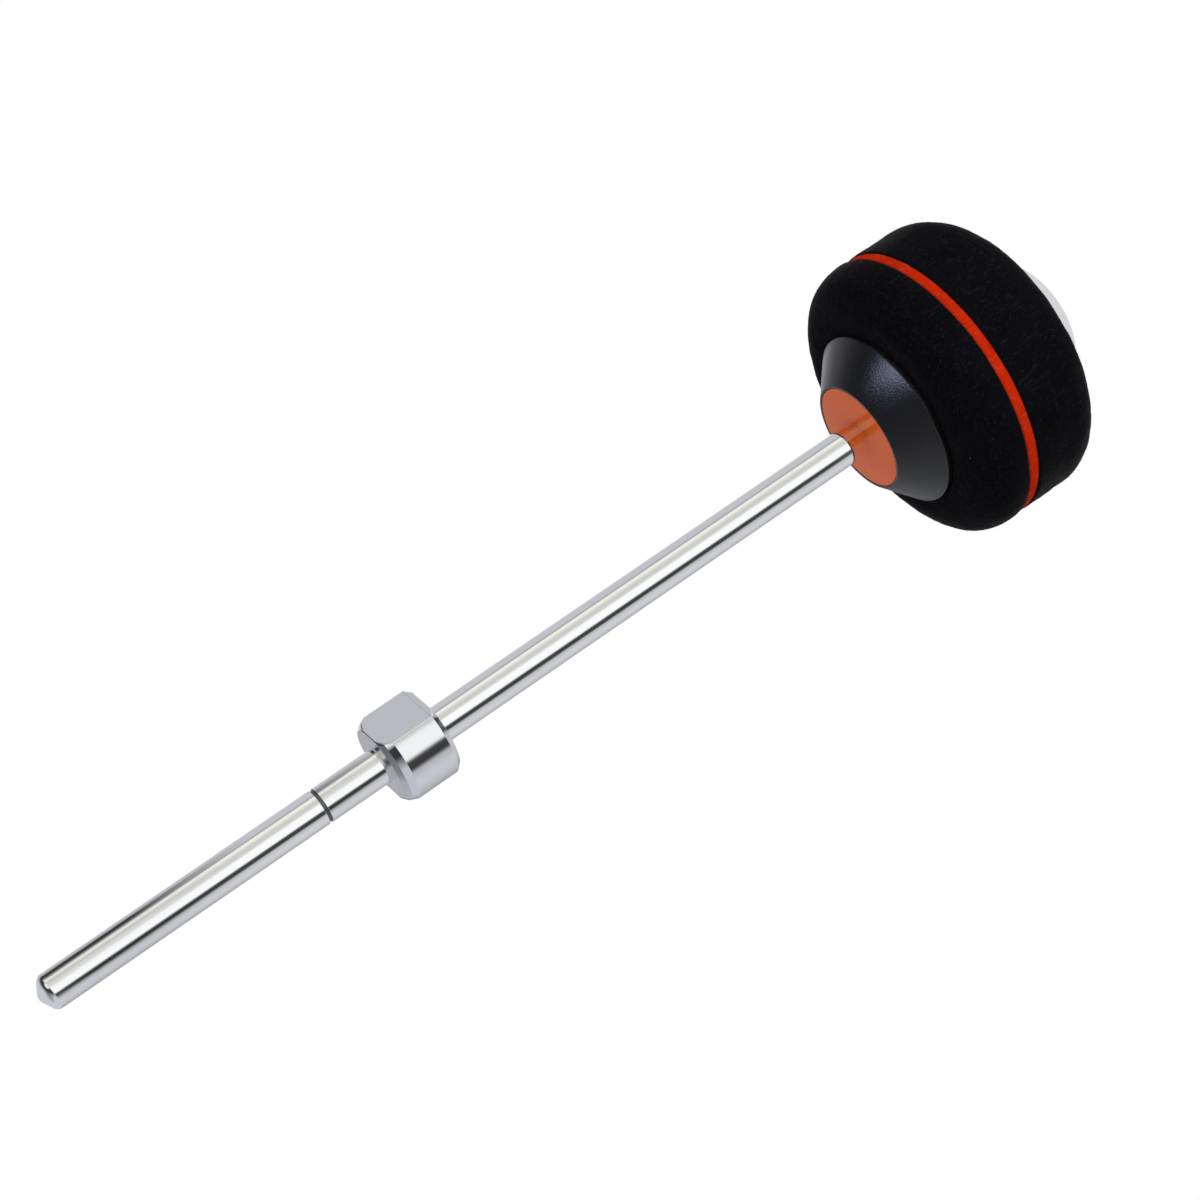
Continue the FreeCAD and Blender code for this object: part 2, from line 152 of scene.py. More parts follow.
class FeltSettings(PropertyGroup):
    """Shape and nap of the felt rings."""

    lower_round: length("Lower rounding", "Rounded edge beside the lower cone", 9.2 * MM)
    upper_round: length("Upper rounding", "Rounded edge beside the upper cone", 10.0 * MM)
    roll: length("Roll", "Rounded felt edges beside the stripe", 1.0 * MM)
    tuck: length("Tuck", "How far the black felt closes over the stripe", 0.18 * MM)
    lift: length("Lift", "How far the pressed felts push the stripe up", 0.38 * MM)
    wander: length("Wander", "How far the felt edges beside the stripe stray", 0.1 * MM)
    bore: length("Bore", "Radius of the hole for the sleeve", 7.6 * MM)
    unevenness: length("Unevenness", "How far the felt swells and sinks", 0.3 * MM)
    mesh_step: length("Mesh step", "Longest run of the felt's outline", 0.7 * MM)
    segments: count("Segments", "Steps round a felt ring", 300)
    nap_density: level("Nap density", "Fibre ends for each square metre", 3.2e6)
    nap_length: length("Nap length", "Longest fibre end", 0.36 * MM)
    nap_thickness: length("Nap thickness", "Radius of a fibre end at its root", 0.014 * MM)
    lint_density: level("Lint density", "Pale specks for each square metre", 4.0e3)
    stray_density: level("Stray density", "Loose bright fibres for each square metre", 1.4e4)
    stray_length: length("Stray length", "Longest loose fibre", 1.6 * MM)
    stray_thickness: length("Stray thickness", "Radius of a loose fibre", 0.022 * MM)
    seed: count("Seed", "Start of the random places", 7)


class FinishSettings(PropertyGroup):
    """Colours of the finishes."""

    chrome: colour("Chrome", "Bright plating of the shaft", 250, 251, 252)
    collar_chrome: colour("Collar chrome", "Duller plating of the collar weight", 240, 241, 244)
    groove: colour("Groove", "Bare cut in the plating", 120, 120, 122)
    black_felt: colour("Black felt", "Thick felt rings", 15, 15, 19)
    orange_felt: colour("Orange felt", "Stripe between the rings", 198, 41, 8)
    black_hub: colour("Black cone", "Satin coat of the lower cone", 12, 12, 14)
    orange_inlay: colour("Orange inlay", "Bright disc in the lower cone", 228, 100, 33)
    silver_hub: colour("Silver cone", "Satin upper cone", 250, 251, 253)
    zinc: colour("Zinc", "Plated nut and washers", 176, 180, 184)
    lint: colour("Lint", "Pale specks on the felt", 150, 150, 154)
    stray: colour("Stray fibres", "Loose bright fibres on the felt", 120, 26, 14)
    black_oxide: colour("Black oxide", "Clamp screw", 38, 38, 40)
    brass: colour("Brass", "Clamp pad", 186, 150, 88)
    floor: colour("Floor", "Pale studio floor", 236, 236, 236)


class StageSettings(PropertyGroup):
    """Camera and light."""

    camera_place: FloatVectorProperty(
        name="Camera place", description="Where the camera stands",
        subtype="XYZ", unit="LENGTH", default=(0.4235, -0.3553, -0.0294), precision=5,
    )
    camera_aim: FloatVectorProperty(
        name="Camera aim", description="Point in the middle of the picture",
        subtype="XYZ", unit="LENGTH", default=(0.00445, -0.00705, 0.13795), precision=5,
    )
    camera_roll: FloatProperty(
        name="Camera roll", description="Turn of the camera about its line of sight",
        default=math.radians(55.66), subtype="ANGLE",
    )
    camera_lens: FloatProperty(
        name="Lens", description="Focal length for a 36 mm frame", default=82.68, unit="CAMERA"
    )
    ambient: level("Ambient", "Light from all round", 0.62)
    key_power: level("Key power", "Power of the soft key lamp in watts", 5.0)
    cone_power: level("Cone lamp power", "Power of the lamp for the lower cone in watts", 0.0055)
    cone_lamp_place: FloatVectorProperty(
        name="Cone lamp place", description="Where the lamp for the lower cone hangs",
        subtype="XYZ", unit="LENGTH", default=(0.0108, -0.0343, 0.1937), precision=5,
    )
    panel_slant: level("Panel slant", "Lean of the mirrored panels, as a share of their rise", 0.25)
    floor_radius: length("Floor radius", "Half the floor's width", 3.0)


class BeaterSettings(PropertyGroup):
    """All the beater's settings."""

    shaft: PointerProperty(type=ShaftSettings)
    collar: PointerProperty(type=CollarSettings)
    hubs: PointerProperty(type=HubSettings)
    felts: PointerProperty(type=FeltSettings)
    finish: PointerProperty(type=FinishSettings)
    stage: PointerProperty(type=StageSettings)


# Node helpers

def add(tree, kind, inputs=None, **settings):
    """Adds a node with its settings. An input is a value, or the socket that feeds it."""
    made = tree.nodes.new(kind)
    for key, setting in settings.items():
        setattr(made, key, setting)
    for key, source in (inputs or {}).items():
        if isinstance(source, bpy.types.NodeSocket):
            tree.links.new(source, made.inputs[key])
        else:
            made.inputs[key].default_value = source
    return made


def math_node(tree, operation, *sources):
    """The value that a Math node gives."""
    return add(tree, "ShaderNodeMath", dict(enumerate(sources)), operation=operation).outputs[0]


def mixed_colour(tree, factor, low, high):
    """The colour between two colours."""
    made = add(tree, "ShaderNodeMix", {0: factor, 6: low, 7: high}, data_type="RGBA")
    return made.outputs[2]


def ranged(tree, source, low, high, to_low=0, to_high=1):
    """A value moved from one range into another, and held there."""
    made = add(tree, "ShaderNodeMapRange", {
        "Value": source, "From Min": low, "From Max": high, "To Min": to_low, "To Max": to_high,
    })
    return made.outputs["Result"]


def noise_value(tree, place, scale, detail):
    """Cloudy noise from 0 to 1."""
    made = add(tree, "ShaderNodeTexNoise", {"Vector": place, "Scale": scale, "Detail": detail})
    return made.outputs["Fac"]


def combined(tree, **axes):
    """A vector from the axes that are given by name."""
    return add(tree, "ShaderNodeCombineXYZ", axes).outputs[0]


def vector_length(tree, vector):
    """The length of a vector."""
    return add(tree, "ShaderNodeVectorMath", {0: vector}, operation="LENGTH").outputs["Value"]


def about_shaft(tree, place):
    """A place's axes, its part across the shaft, and its distance from the shaft's axis."""
    axes = add(tree, "ShaderNodeSeparateXYZ", {0: place}).outputs
    across = combined(tree, X=axes["X"], Y=axes["Y"])
    return axes, across, vector_length(tree, across)


def object_place(tree):
    """The place on an object, which its patterns follow."""
    return add(tree, "ShaderNodeTexCoord").outputs["Object"]


def numbers(*names):
    """Sockets for plain numbers."""
    return [(name, "NodeSocketFloat") for name in names]


def new_group(name, kind, inputs, outputs):
    """A node group with named sockets, and its input and output nodes."""
    tree = bpy.data.node_groups.new(name, kind)
    for socket, socket_type in inputs:
        tree.interface.new_socket(socket, in_out="INPUT", socket_type=socket_type)
    for socket, socket_type in outputs:
        tree.interface.new_socket(socket, in_out="OUTPUT", socket_type=socket_type)
    return tree, tree.nodes.new("NodeGroupInput").outputs, tree.nodes.new("NodeGroupOutput").inputs


# Shared effects

# Parts of the noise that are spread over 0 to 1
NOISE_MIDDLE = (0.3, 0.7)
POLISH_MIDDLE = (0.35, 0.65)
HAIR_CRESTS = (0.6, 0.8)

# Three ways that hairs run, and clumps and clouds as shares of their pattern's scale
HAIR_STRETCHES = ((1, 0.12, 0.5), (0.12, 1, 0.6), (0.5, 0.6, 0.12))
CLUMP_SCALE = 0.06
CLOUD_SCALE = 0.05

# Polishing lines round the shaft, marks of handling, and how much the lines count
POLISH_STRETCH = (60, 60, 6000)
HANDLING_SCALE = 90
LINE_SHARE = 0.4


def wool_group():
    """Matted wool: a mask for the lighter hairs, a slow shade and a height."""
    tree, given, result = new_group(
        "matted_wool", "ShaderNodeTree", numbers("Scale"), numbers("Hair", "Shade", "Height")
    )
    place = object_place(tree)
    hairs = None
    for stretch in HAIR_STRETCHES:
        turned = add(tree, "ShaderNodeMapping", {"Vector": place, "Scale": stretch})
        strands = noise_value(tree, turned.outputs["Vector"], given["Scale"], detail=2)
        hairs = math_node(tree, "MAXIMUM", hairs, strands) if hairs else strands
    clump_scale = math_node(tree, "MULTIPLY", given["Scale"], CLUMP_SCALE)
    clumps = noise_value(tree, place, clump_scale, detail=3)
    tree.links.new(ranged(tree, hairs, *HAIR_CRESTS), result["Hair"])
    tree.links.new(ranged(tree, clumps, *NOISE_MIDDLE), result["Shade"])
    tree.links.new(math_node(tree, "MULTIPLY_ADD", clumps, 0.5, hairs), result["Height"])
    return tree


def polish_group():
    """Fine marks left by polishing: a roughness between two values, and a height."""
    tree, given, result = new_group(
        "polish_marks", "ShaderNodeTree",
        numbers("Smoothest", "Roughest"), numbers("Roughness", "Height"),
    )
    place = object_place(tree)
    rings = add(tree, "ShaderNodeMapping", {"Vector": place, "Scale": POLISH_STRETCH})
    lines = noise_value(tree, rings.outputs["Vector"], 1, detail=2)
    handling = noise_value(tree, place, HANDLING_SCALE, detail=4)
    handled = math_node(tree, "MULTIPLY", handling, 1 - LINE_SHARE)
    blend = math_node(tree, "MULTIPLY_ADD", lines, LINE_SHARE, handled)
    spread = math_node(tree, "SUBTRACT", given["Roughest"], given["Smoothest"])
    sharpened = ranged(tree, blend, *POLISH_MIDDLE)
    roughness = math_node(tree, "MULTIPLY_ADD", sharpened, spread, given["Smoothest"])
    tree.links.new(roughness, result["Roughness"])
    tree.links.new(lines, result["Height"])
    return tree


def grain_group():
    """Even grain of a sprayed or moulded surface: a slow shade and a height."""
    tree, given, result = new_group(
        "coat_grain", "ShaderNodeTree", numbers("Scale"), numbers("Shade", "Height")
    )
    place = object_place(tree)
    cloud_scale = math_node(tree, "MULTIPLY", given["Scale"], CLOUD_SCALE)
    cloud = noise_value(tree, place, cloud_scale, detail=3)
    grain = noise_value(tree, place, given["Scale"], detail=3)
    tree.links.new(ranged(tree, cloud, *NOISE_MIDDLE), result["Shade"])
    tree.links.new(grain, result["Height"])
    return tree


def turning_group():
    """Rings that a lathe leaves round the shaft's axis: a shade and a height."""
    tree, given, result = new_group(
        "turning_rings", "ShaderNodeTree", numbers("Scale"), numbers("Shade", "Height")
    )
    axes, _, radius = about_shaft(tree, object_place(tree))
    ring_place = combined(tree, X=radius, Z=axes["Z"])
    rings = noise_value(tree, ring_place, given["Scale"], detail=2)
    tree.links.new(ranged(tree, rings, *NOISE_MIDDLE), result["Shade"])
    tree.links.new(rings, result["Height"])
    return tree


GROUP_MAKERS = {
    "matted_wool": wool_group,
    "polish_marks": polish_group,
    "coat_grain": grain_group,
    "turning_rings": turning_group,
}


def use_group(tree, name, **values):
    """Places a shared effect in a material, made on its first use."""
    effect = bpy.data.node_groups.get(name) or GROUP_MAKERS[name]()
    return add(tree, "ShaderNodeGroup", values, node_tree=effect).outputs


# Finishes

def new_finish(name, constants):
    """A material with one Principled shader whose constant sockets are set."""
    made = bpy.data.materials.new(name)
    made.use_nodes = True
    tree = made.node_tree
    tree.nodes.clear()
    shader = add(tree, "ShaderNodeBsdfPrincipled", constants)
    add(tree, "ShaderNodeOutputMaterial", {"Surface": shader.outputs[0]})
    return made, tree, shader.inputs


def bump(tree, sockets, height, strength, depth):
    """Feeds a height to the shader's normal."""
    values = {"Height": height, "Strength": strength, "Distance": depth}
    relief = add(tree, "ShaderNodeBump", values)
    tree.links.new(relief.outputs["Normal"], sockets["Normal"])


def mottle(tree, sockets, mask, low, high):
    """Feeds a mix of two tints to the shader's colour."""
    tree.links.new(mixed_colour(tree, mask, low, high), sockets["Base Color"])


def vary_roughness(tree, sockets, mask, low, high):
    """Feeds a value between two to the shader's roughness."""
    tree.links.new(ranged(tree, mask, 0, 1, low, high), sockets["Roughness"])


def darker(tint, share):
    """A tint brought towards black."""
    return (*(channel * share for channel in tint[:3]), 1)


def lighter(tint, share):
    """A tint brought towards white."""
    return (*(channel + (1 - channel) * share for channel in tint[:3]), 1)


def bright_plating(name, tint, smoothest, roughest):
    """Polished metal with faint marks."""
    made, tree, sockets = new_finish(name, {"Base Color": tint, "Metallic": 1})
    marks = use_group(tree, "polish_marks", Smoothest=smoothest, Roughest=roughest)
    tree.links.new(marks["Roughness"], sockets["Roughness"])
    bump(tree, sockets, marks["Height"], strength=0.02, depth=0.02 * MM)
    return made


def turned_metal(name, tint, roughness, scale):
    """Satin metal that shows the rings of its turning."""
    made, tree, sockets = new_finish(name, {"Metallic": 1})
    rings = use_group(tree, "turning_rings", Scale=scale)
    mottle(tree, sockets, rings["Shade"], darker(tint, 0.86), tint)
    vary_roughness(tree, sockets, rings["Shade"], roughness * 1.2, roughness * 0.85)
    bump(tree, sockets, rings["Height"], strength=0.12, depth=0.03 * MM)
    return made


def satin_coat(name, tint, roughness, scale, depth):
    """Even satin coat with a fine grain."""
    made, tree, sockets = new_finish(name, {"Specular IOR Level": 0.5})
    grain = use_group(tree, "coat_grain", Scale=scale)
    mottle(tree, sockets, grain["Shade"], darker(tint, 0.8), tint)
    vary_roughness(tree, sockets, grain["Shade"], roughness * 0.9, roughness * 1.1)
    bump(tree, sockets, grain["Height"], strength=1, depth=depth)
    return made


def gloss_enamel(name, tint, scale):
    """Glossy colour under a clear coat."""
    made, tree, sockets = new_finish(name, {
        "Roughness": 0.6, "Specular IOR Level": 0,
        "Coat Weight": 0.62, "Coat Roughness": 0.03, "Coat IOR": 1.5,
    })
    grain = use_group(tree, "coat_grain", Scale=scale)
    mottle(tree, sockets, grain["Shade"], darker(tint, 0.88), tint)
    bump(tree, sockets, grain["Height"], strength=0.05, depth=0.01 * MM)
    return made


def felt_finish(name, tint, hair_tint, sheen=0):
    """Matted wool with lighter hairs and a pale sheen at its edges."""
    made, tree, sockets = new_finish(name, {
        "Roughness": 1, "Specular IOR Level": 0,
        "Sheen Weight": sheen, "Sheen Roughness": 0.3, "Sheen Tint": lighter(hair_tint, 0.5),
    })
    wool = use_group(tree, "matted_wool", Scale=2600)
    shaded = mixed_colour(tree, wool["Shade"], darker(tint, 0.75), tint)
    mottle(tree, sockets, wool["Hair"], shaded, hair_tint)
    bump(tree, sockets, wool["Height"], strength=0.6, depth=0.25 * MM)
    return made


# Mesh helpers

def outline(*points):
    """Outline points given as (radius, height)."""
    return [Vector(point) for point in points]


def round_corners(corners, steps=6):
    """Outline points from corners given as (radius, height, rounding): round ones become arcs."""
    points = []
    for index, (radius, height, rounding) in enumerate(corners):
        here = Vector((radius, height))
        if not rounding:
            points.append(here)
            continue
        back = (Vector(corners[index - 1][:2]) - here).normalized()
        onward = (Vector(corners[(index + 1) % len(corners)][:2]) - here).normalized()
        half = back.angle(onward) / 2
        centre = here + (back + onward).normalized() * rounding / math.sin(half)
        reach = rounding / math.tan(half)
        first = here + back * reach - centre
        last = here + onward * reach - centre
        points += [centre + first.slerp(last, step / steps) * rounding for step in range(steps + 1)]
    return points


def divide(points, step, wanted=lambda start, end: True):
    """The same closed outline, with points added so that no wanted run is longer than the step."""
    divided = []
    for index, start in enumerate(points):
        end = points[(index + 1) % len(points)]
        parts = max(1, math.ceil((end - start).length / step)) if wanted(start, end) else 1
        divided += [start.lerp(end, part / parts) for part in range(parts)]
    return divided


def lathe(points, segments):
    """Closed bmesh of an outline turned about Z. Points on the axis become poles."""
    shape = bmesh.new()
    angles = [FULL_TURN * step / segments for step in range(segments)]
    rings = []
    for radius, height in points:
        spokes = angles if radius else angles[:1]
        rings.append([
            shape.verts.new((radius * math.cos(angle), radius * math.sin(angle), height))
            for angle in spokes
        ])
    for low, high in zip(rings, rings[1:] + rings[:1]):
        for step in range(segments):
            after = step + 1
            corners = [ring[place % len(ring)] for ring, place in (
                (low, step), (low, after), (high, after), (high, step)
            )]
            unlike = list(dict.fromkeys(corners))
            if len(unlike) > 2:
                shape.faces.new(unlike)
    bmesh.ops.recalc_face_normals(shape, faces=shape.faces)
    return shape


def cut_flats(shape, distance, flat_count):
    """Cuts evenly turned flats, the first of them facing Y, at the distance from Z."""
    for step in range(flat_count):
        turn = FULL_TURN * (step / flat_count + 0.25)
        outward = Vector((math.cos(turn), math.sin(turn), 0))
        cut = bmesh.ops.bisect_plane(
            shape, geom=shape.verts[:] + shape.edges[:] + shape.faces[:],
            plane_co=outward * distance, plane_no=outward, clear_outer=True,
        )
        rim = [item for item in cut["geom_cut"] if isinstance(item, bmesh.types.BMEdge)]
        bmesh.ops.contextual_create(shape, geom=rim)
    bmesh.ops.recalc_face_normals(shape, faces=shape.faces)


def hexagon_points(width):
    """Corners of a hexagon given across its flats."""
    reach = width / math.sqrt(3)
    return [
        (reach * math.cos(FULL_TURN * step / 6), reach * math.sin(FULL_TURN * step / 6))
        for step in range(6)
    ]


def along_minus_x(start, height):
    """Turns what is built up Z to run along -X from a start beside the shaft."""
    return Matrix.Translation((start, 0, height)) @ Matrix.Rotation(-math.pi / 2, 4, "Y")


def new_object(name, shape, *materials):
    """Object from a bmesh, smooth but for its sharp edges."""
    mesh = bpy.data.meshes.new(name)
    shape.to_mesh(mesh)
    shape.free()
    mesh.shade_smooth()
    for material in materials:
        mesh.materials.append(material)
    made = bpy.data.objects.new(name, mesh)
    bpy.context.scene.collection.objects.link(made)
    return made


def bake(made):
    """Turns the object's modifiers into plain mesh."""
    bpy.context.view_layer.update()
    graph = bpy.context.evaluated_depsgraph_get()
    plain = bpy.data.meshes.new_from_object(
        made.evaluated_get(graph), preserve_all_data_layers=True, depsgraph=graph
    )
    rough = made.data
    made.modifiers.clear()
    made.data = plain
    plain.name = made.name
    bpy.data.meshes.remove(rough)


def sharpen(made, degrees=32):
    """Marks the edges that stay crisp."""
    made.data.set_sharp_from_angle(angle=math.radians(degrees))


def even_normals(made):
    """Keeps broad faces flat where narrow rounded edges meet them."""
    weighted = made.modifiers.new("even_normals", "WEIGHTED_NORMAL")
    weighted.keep_sharp = True
    bake(made)


def break_edges(made, width, degrees=25):
    """Rounds the sharp edges by a narrow bevel."""
    bevel = made.modifiers.new("broken_edges", "BEVEL")
    bevel.width = width
    bevel.segments = 3
    bevel.limit_method = "ANGLE"
    bevel.angle_limit = math.radians(degrees)
    bevel.harden_normals = True
    bake(made)


def drill(made, cutter):
    """Takes the cutter's shape out of the object, and removes the cutter."""
    cut = made.modifiers.new("drilled", "BOOLEAN")
    cut.operation = "DIFFERENCE"
    cut.solver = "EXACT"
    cut.object = cutter
    bake(made)
    bpy.data.objects.remove(cutter)


def run_nodes(made, tree, values):
    """Runs a geometry tree on the object with named inputs, and keeps the plain mesh."""
    modifier = made.modifiers.new(tree.name, "NODES")
    modifier.node_group = tree
    for item in tree.interface.items_tree:
        if item.in_out == "INPUT" and item.name in values:
            modifier[item.identifier] = values[item.name]
    bake(made)
    slots = made.data.materials
    for index in reversed(range(len(slots))):
        if slots[index] is None:
            slots.pop(index=index)


def seat(made, body, slot, *nodes):
    """Rides the piece on its body and puts it in the place of its nodes. The slot is not used."""
    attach(made, body)
    if nodes:
        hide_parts(*nodes)


def dress(node, material):
    """Gives a frame node that stays in view its finish."""
    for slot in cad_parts[node].material_slots:
        slot.link = "OBJECT"
        slot.material = material


# Geometry trees

GEOMETRY = ("Geometry", "NodeSocketGeometry")
FINISH = ("Finish", "NodeSocketMaterial")
FIBRE_INPUTS = (
    GEOMETRY,
    *numbers("Density", "Length", "Thickness", "Clear Radius", "Lowest", "Highest"),
    ("Seed", "NodeSocketInt"),
    FINISH,
)

# How far fibres bend and rise, as shares of their length, and how far they lean
NAP_CURL = 0.7
NAP_LEAN = math.radians(62)
STRAY_LIFT = 0.12
STRAY_LEAN = math.radians(8)


def mesh_place(tree):
    """The place of each point of a mesh."""
    return add(tree, "GeometryNodeInputPosition").outputs[0]


def end_tree(tree, made, result, material, selection=True):
    """Ends a geometry tree with plain meshes that have their finish."""
    plain = add(tree, "GeometryNodeRealizeInstances", {"Geometry": made}).outputs[0]
    finished = add(tree, "GeometryNodeSetMaterial", {
        "Geometry": plain, "Selection": selection, "Material": material,
    })
    tree.links.new(finished.outputs[0], result["Geometry"])
    return tree


def thread_tree():
    """Sinks a screw thread into a fine turned rod about Z."""
    tree, given, result = new_group(
        "screw_thread", "GeometryNodeTree",
        (GEOMETRY, *numbers("Pitch", "Depth", "Start", "End", "Crest"), FINISH), (GEOMETRY,),
    )
    axes, across, radius = about_shaft(tree, mesh_place(tree))
    outward = add(tree, "ShaderNodeVectorMath", {0: across}, operation="NORMALIZE").outputs[0]
    turns = math_node(tree, "DIVIDE", math_node(tree, "ARCTAN2", axes["Y"], axes["X"]), FULL_TURN)
    rise = math_node(tree, "DIVIDE", axes["Z"], given["Pitch"])
    groove = math_node(tree, "PINGPONG", math_node(tree, "SUBTRACT", rise, turns), 0.5)
    sink = math_node(tree, "MULTIPLY", math_node(tree, "MULTIPLY", groove, -2), given["Depth"])
    root = math_node(tree, "SUBTRACT", given["Crest"], given["Depth"])
    deepest = math_node(tree, "MINIMUM", math_node(tree, "SUBTRACT", root, radius), 0)
    held = math_node(tree, "MAXIMUM", sink, deepest)
    above = math_node(tree, "GREATER_THAN", axes["Z"], given["Start"])
    below = math_node(tree, "LESS_THAN", axes["Z"], given["End"])
    threaded = math_node(tree, "MULTIPLY", above, below)
    inward = add(tree, "ShaderNodeVectorMath", {0: outward, "Scale": held}, operation="SCALE")
    moved = add(tree, "GeometryNodeSetPosition", {
        "Geometry": given["Geometry"], "Selection": threaded, "Offset": inward.outputs[0],
    }).outputs[0]
    return end_tree(tree, moved, result, given["Finish"], threaded)


def random_vector(tree, low, high, seed):
    """A random vector between two, for each point."""
    values = {0: low, 1: high, "Seed": seed}
    return add(tree, "FunctionNodeRandomValue", values, data_type="FLOAT_VECTOR").outputs[0]


def free_surface(tree, given):
    """Selection of the felt that is clear of the cones and of the neighbouring felt."""
    axes, _, radius = about_shaft(tree, mesh_place(tree))
    outside = math_node(tree, "GREATER_THAN", radius, given["Clear Radius"])
    over = math_node(tree, "GREATER_THAN", axes["Z"], given["Lowest"])
    under = math_node(tree, "LESS_THAN", axes["Z"], given["Highest"])
    return math_node(tree, "MULTIPLY", outside, math_node(tree, "MULTIPLY", over, under))


def scatter(tree, given, result, fibre, lean, smallest, largest):
    """Sets a fibre at random points of the free surface, and ends the tree."""
    spread = add(tree, "GeometryNodeDistributePointsOnFaces", {
        "Mesh": given["Geometry"], "Selection": free_surface(tree, given),
        "Density": given["Density"], "Seed": given["Seed"],
    }).outputs
    turn = random_vector(tree, (-lean, -lean, -math.pi), (lean, lean, math.pi), given["Seed"])
    turned = add(tree, "FunctionNodeRotateRotation", {
        "Rotation": spread["Rotation"], "Rotate By": turn,
    }, rotation_space="LOCAL").outputs[0]
    placed = add(tree, "GeometryNodeInstanceOnPoints", {
        "Points": spread["Points"], "Instance": fibre, "Rotation": turned,
        "Scale": random_vector(tree, smallest, largest, given["Seed"]),
    }).outputs[0]
    return end_tree(tree, placed, result, given["Finish"])


def nap_tree():
    """Short tapered fibre ends that stand up from the felt."""
    tree, given, result = new_group("felt_nap", "GeometryNodeTree", FIBRE_INPUTS, (GEOMETRY,))
    spike = add(tree, "GeometryNodeMeshCone", {
        "Vertices": 3, "Side Segments": 2, "Radius Top": 0,
        "Radius Bottom": given["Thickness"], "Depth": given["Length"],
    }).outputs["Mesh"]
    height = add(tree, "ShaderNodeSeparateXYZ", {0: mesh_place(tree)}).outputs["Z"]
    share = math_node(tree, "DIVIDE", height, given["Length"])
    curl = math_node(tree, "MULTIPLY", math_node(tree, "POWER", share, 2), given["Length"])
    droop = combined(tree, X=math_node(tree, "MULTIPLY", curl, NAP_CURL))
    bent = add(tree, "GeometryNodeSetPosition", {"Geometry": spike, "Offset": droop}).outputs[0]
    return scatter(tree, given, result, bent, NAP_LEAN, smallest=(0.5, 0.5, 0.3), largest=(1, 1, 1))


def stray_tree():
    """Longer curved fibres that lie loose on the felt."""
    tree, given, result = new_group("stray_fibres", "GeometryNodeTree", FIBRE_INPUTS, (GEOMETRY,))
    half = math_node(tree, "MULTIPLY", given["Length"], 0.5)
    lift = math_node(tree, "MULTIPLY", given["Length"], STRAY_LIFT)
    curve = add(tree, "GeometryNodeCurveQuadraticBezier", {
        "Resolution": 8,
        "Start": combined(tree, X=math_node(tree, "MULTIPLY", half, -1)),
        "Middle": combined(tree, Y=half, Z=lift),
        "End": combined(tree, X=half),
    }).outputs[0]
    section = add(tree, "GeometryNodeCurvePrimitiveCircle", {
        "Resolution": 4, "Radius": given["Thickness"],
    }).outputs[0]
    fibre = add(tree, "GeometryNodeCurveToMesh", {
        "Curve": curve, "Profile Curve": section, "Fill Caps": True,
    }).outputs[0]
    return scatter(
        tree, given, result, fibre, STRAY_LEAN, smallest=(0.25, -0.8, 0.6), largest=(1, 0.8, 1)
    )


# Pieces

# Steps in one pitch of a thread, and round the screw and the nut
THREAD_STEPS = 10
SCREW_SEGMENTS = 96
NUT_SEGMENTS = 120
NUT_CHAMFER_ANGLE = math.radians(30)

# The collar's faces that count as chamfers and as ends, by how far they face along the shaft. These
# faces get darker copies of the chrome, which paint shade on them
CHAMFER_TILT = 0.6
END_FACE_TILT = 0.9


def settings():
    """The beater's settings in this scene."""
    return bpy.context.scene.beater


def node_radius(node):
    """Outside radius of a round node about the shaft."""
    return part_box(node)[1].x


def node_span(node):
    """Lowest and highest place of a node along the shaft."""
    low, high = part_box(node)
    return low.z, high.z


class BEATER_OT_shaft(Operator):
    """Turns the shaft with its tip, ring groove and threaded top"""

    bl_idname = "beater.shaft"
    bl_label = "Shaft"

    def execute(self, context):
        sizes, finish = settings().shaft, settings().finish
        plating = bright_plating("shaft_chrome", finish.chrome, smoothest=0.015, roughest=0.045)
        bare = turned_metal("groove_steel", finish.groove, roughness=0.4, scale=9000)
        zinc = turned_metal("thread_zinc", finish.zinc, roughness=0.3, scale=5000)
        low, top = node_span("shaft")
        shoulder = node_span("hub_inlay")[1]
        thread_start = node_span("flat_washer")[0]
        radius = node_radius("shaft")
        floor = radius - sizes.groove_depth
        groove_top = sizes.groove_height + sizes.groove_width
        corners = [
            (0, low, 0),
            (sizes.tip_flat, low, sizes.tip_round),
            (radius, low + sizes.tip_height, sizes.tip_round),
            (radius, sizes.groove_height, sizes.edge_round),
            (floor, sizes.groove_height, 0),
            (floor, groove_top, 0),
            (radius, groove_top, sizes.edge_round),
            (radius, shoulder, sizes.edge_round),
            (sizes.thread_radius, shoulder, 0),
            (sizes.thread_radius, thread_start, 0),
            (sizes.thread_radius, top - sizes.lead_in, 0),
            (sizes.thread_radius - sizes.lead_in, top, 0),
            (0, top, 0),
        ]
        points = divide(
            round_corners(corners, steps=10), sizes.thread_pitch / THREAD_STEPS,
            lambda start, end: min(start.y, end.y) >= thread_start and min(start.x, end.x) > 0,
        )
        shape = lathe(points, sizes.segments)
        for face in shape.faces:
            middle = face.calc_center_median()
            in_groove = sizes.groove_height < middle.z < groove_top
            if in_groove and middle.xy.length < radius - sizes.edge_round:
                face.material_index = 1
        made = new_object("shaft_turned", shape, plating, bare)
        run_nodes(made, thread_tree(), {
            "Pitch": sizes.thread_pitch, "Depth": sizes.thread_depth,
            "Start": thread_start, "End": top + sizes.thread_pitch,
            "Crest": sizes.thread_radius, "Finish": zinc,
        })
        sharpen(made)
        seat(made, HEAD_BODY, "chrome_shaft", "shaft")
        return {"FINISHED"}


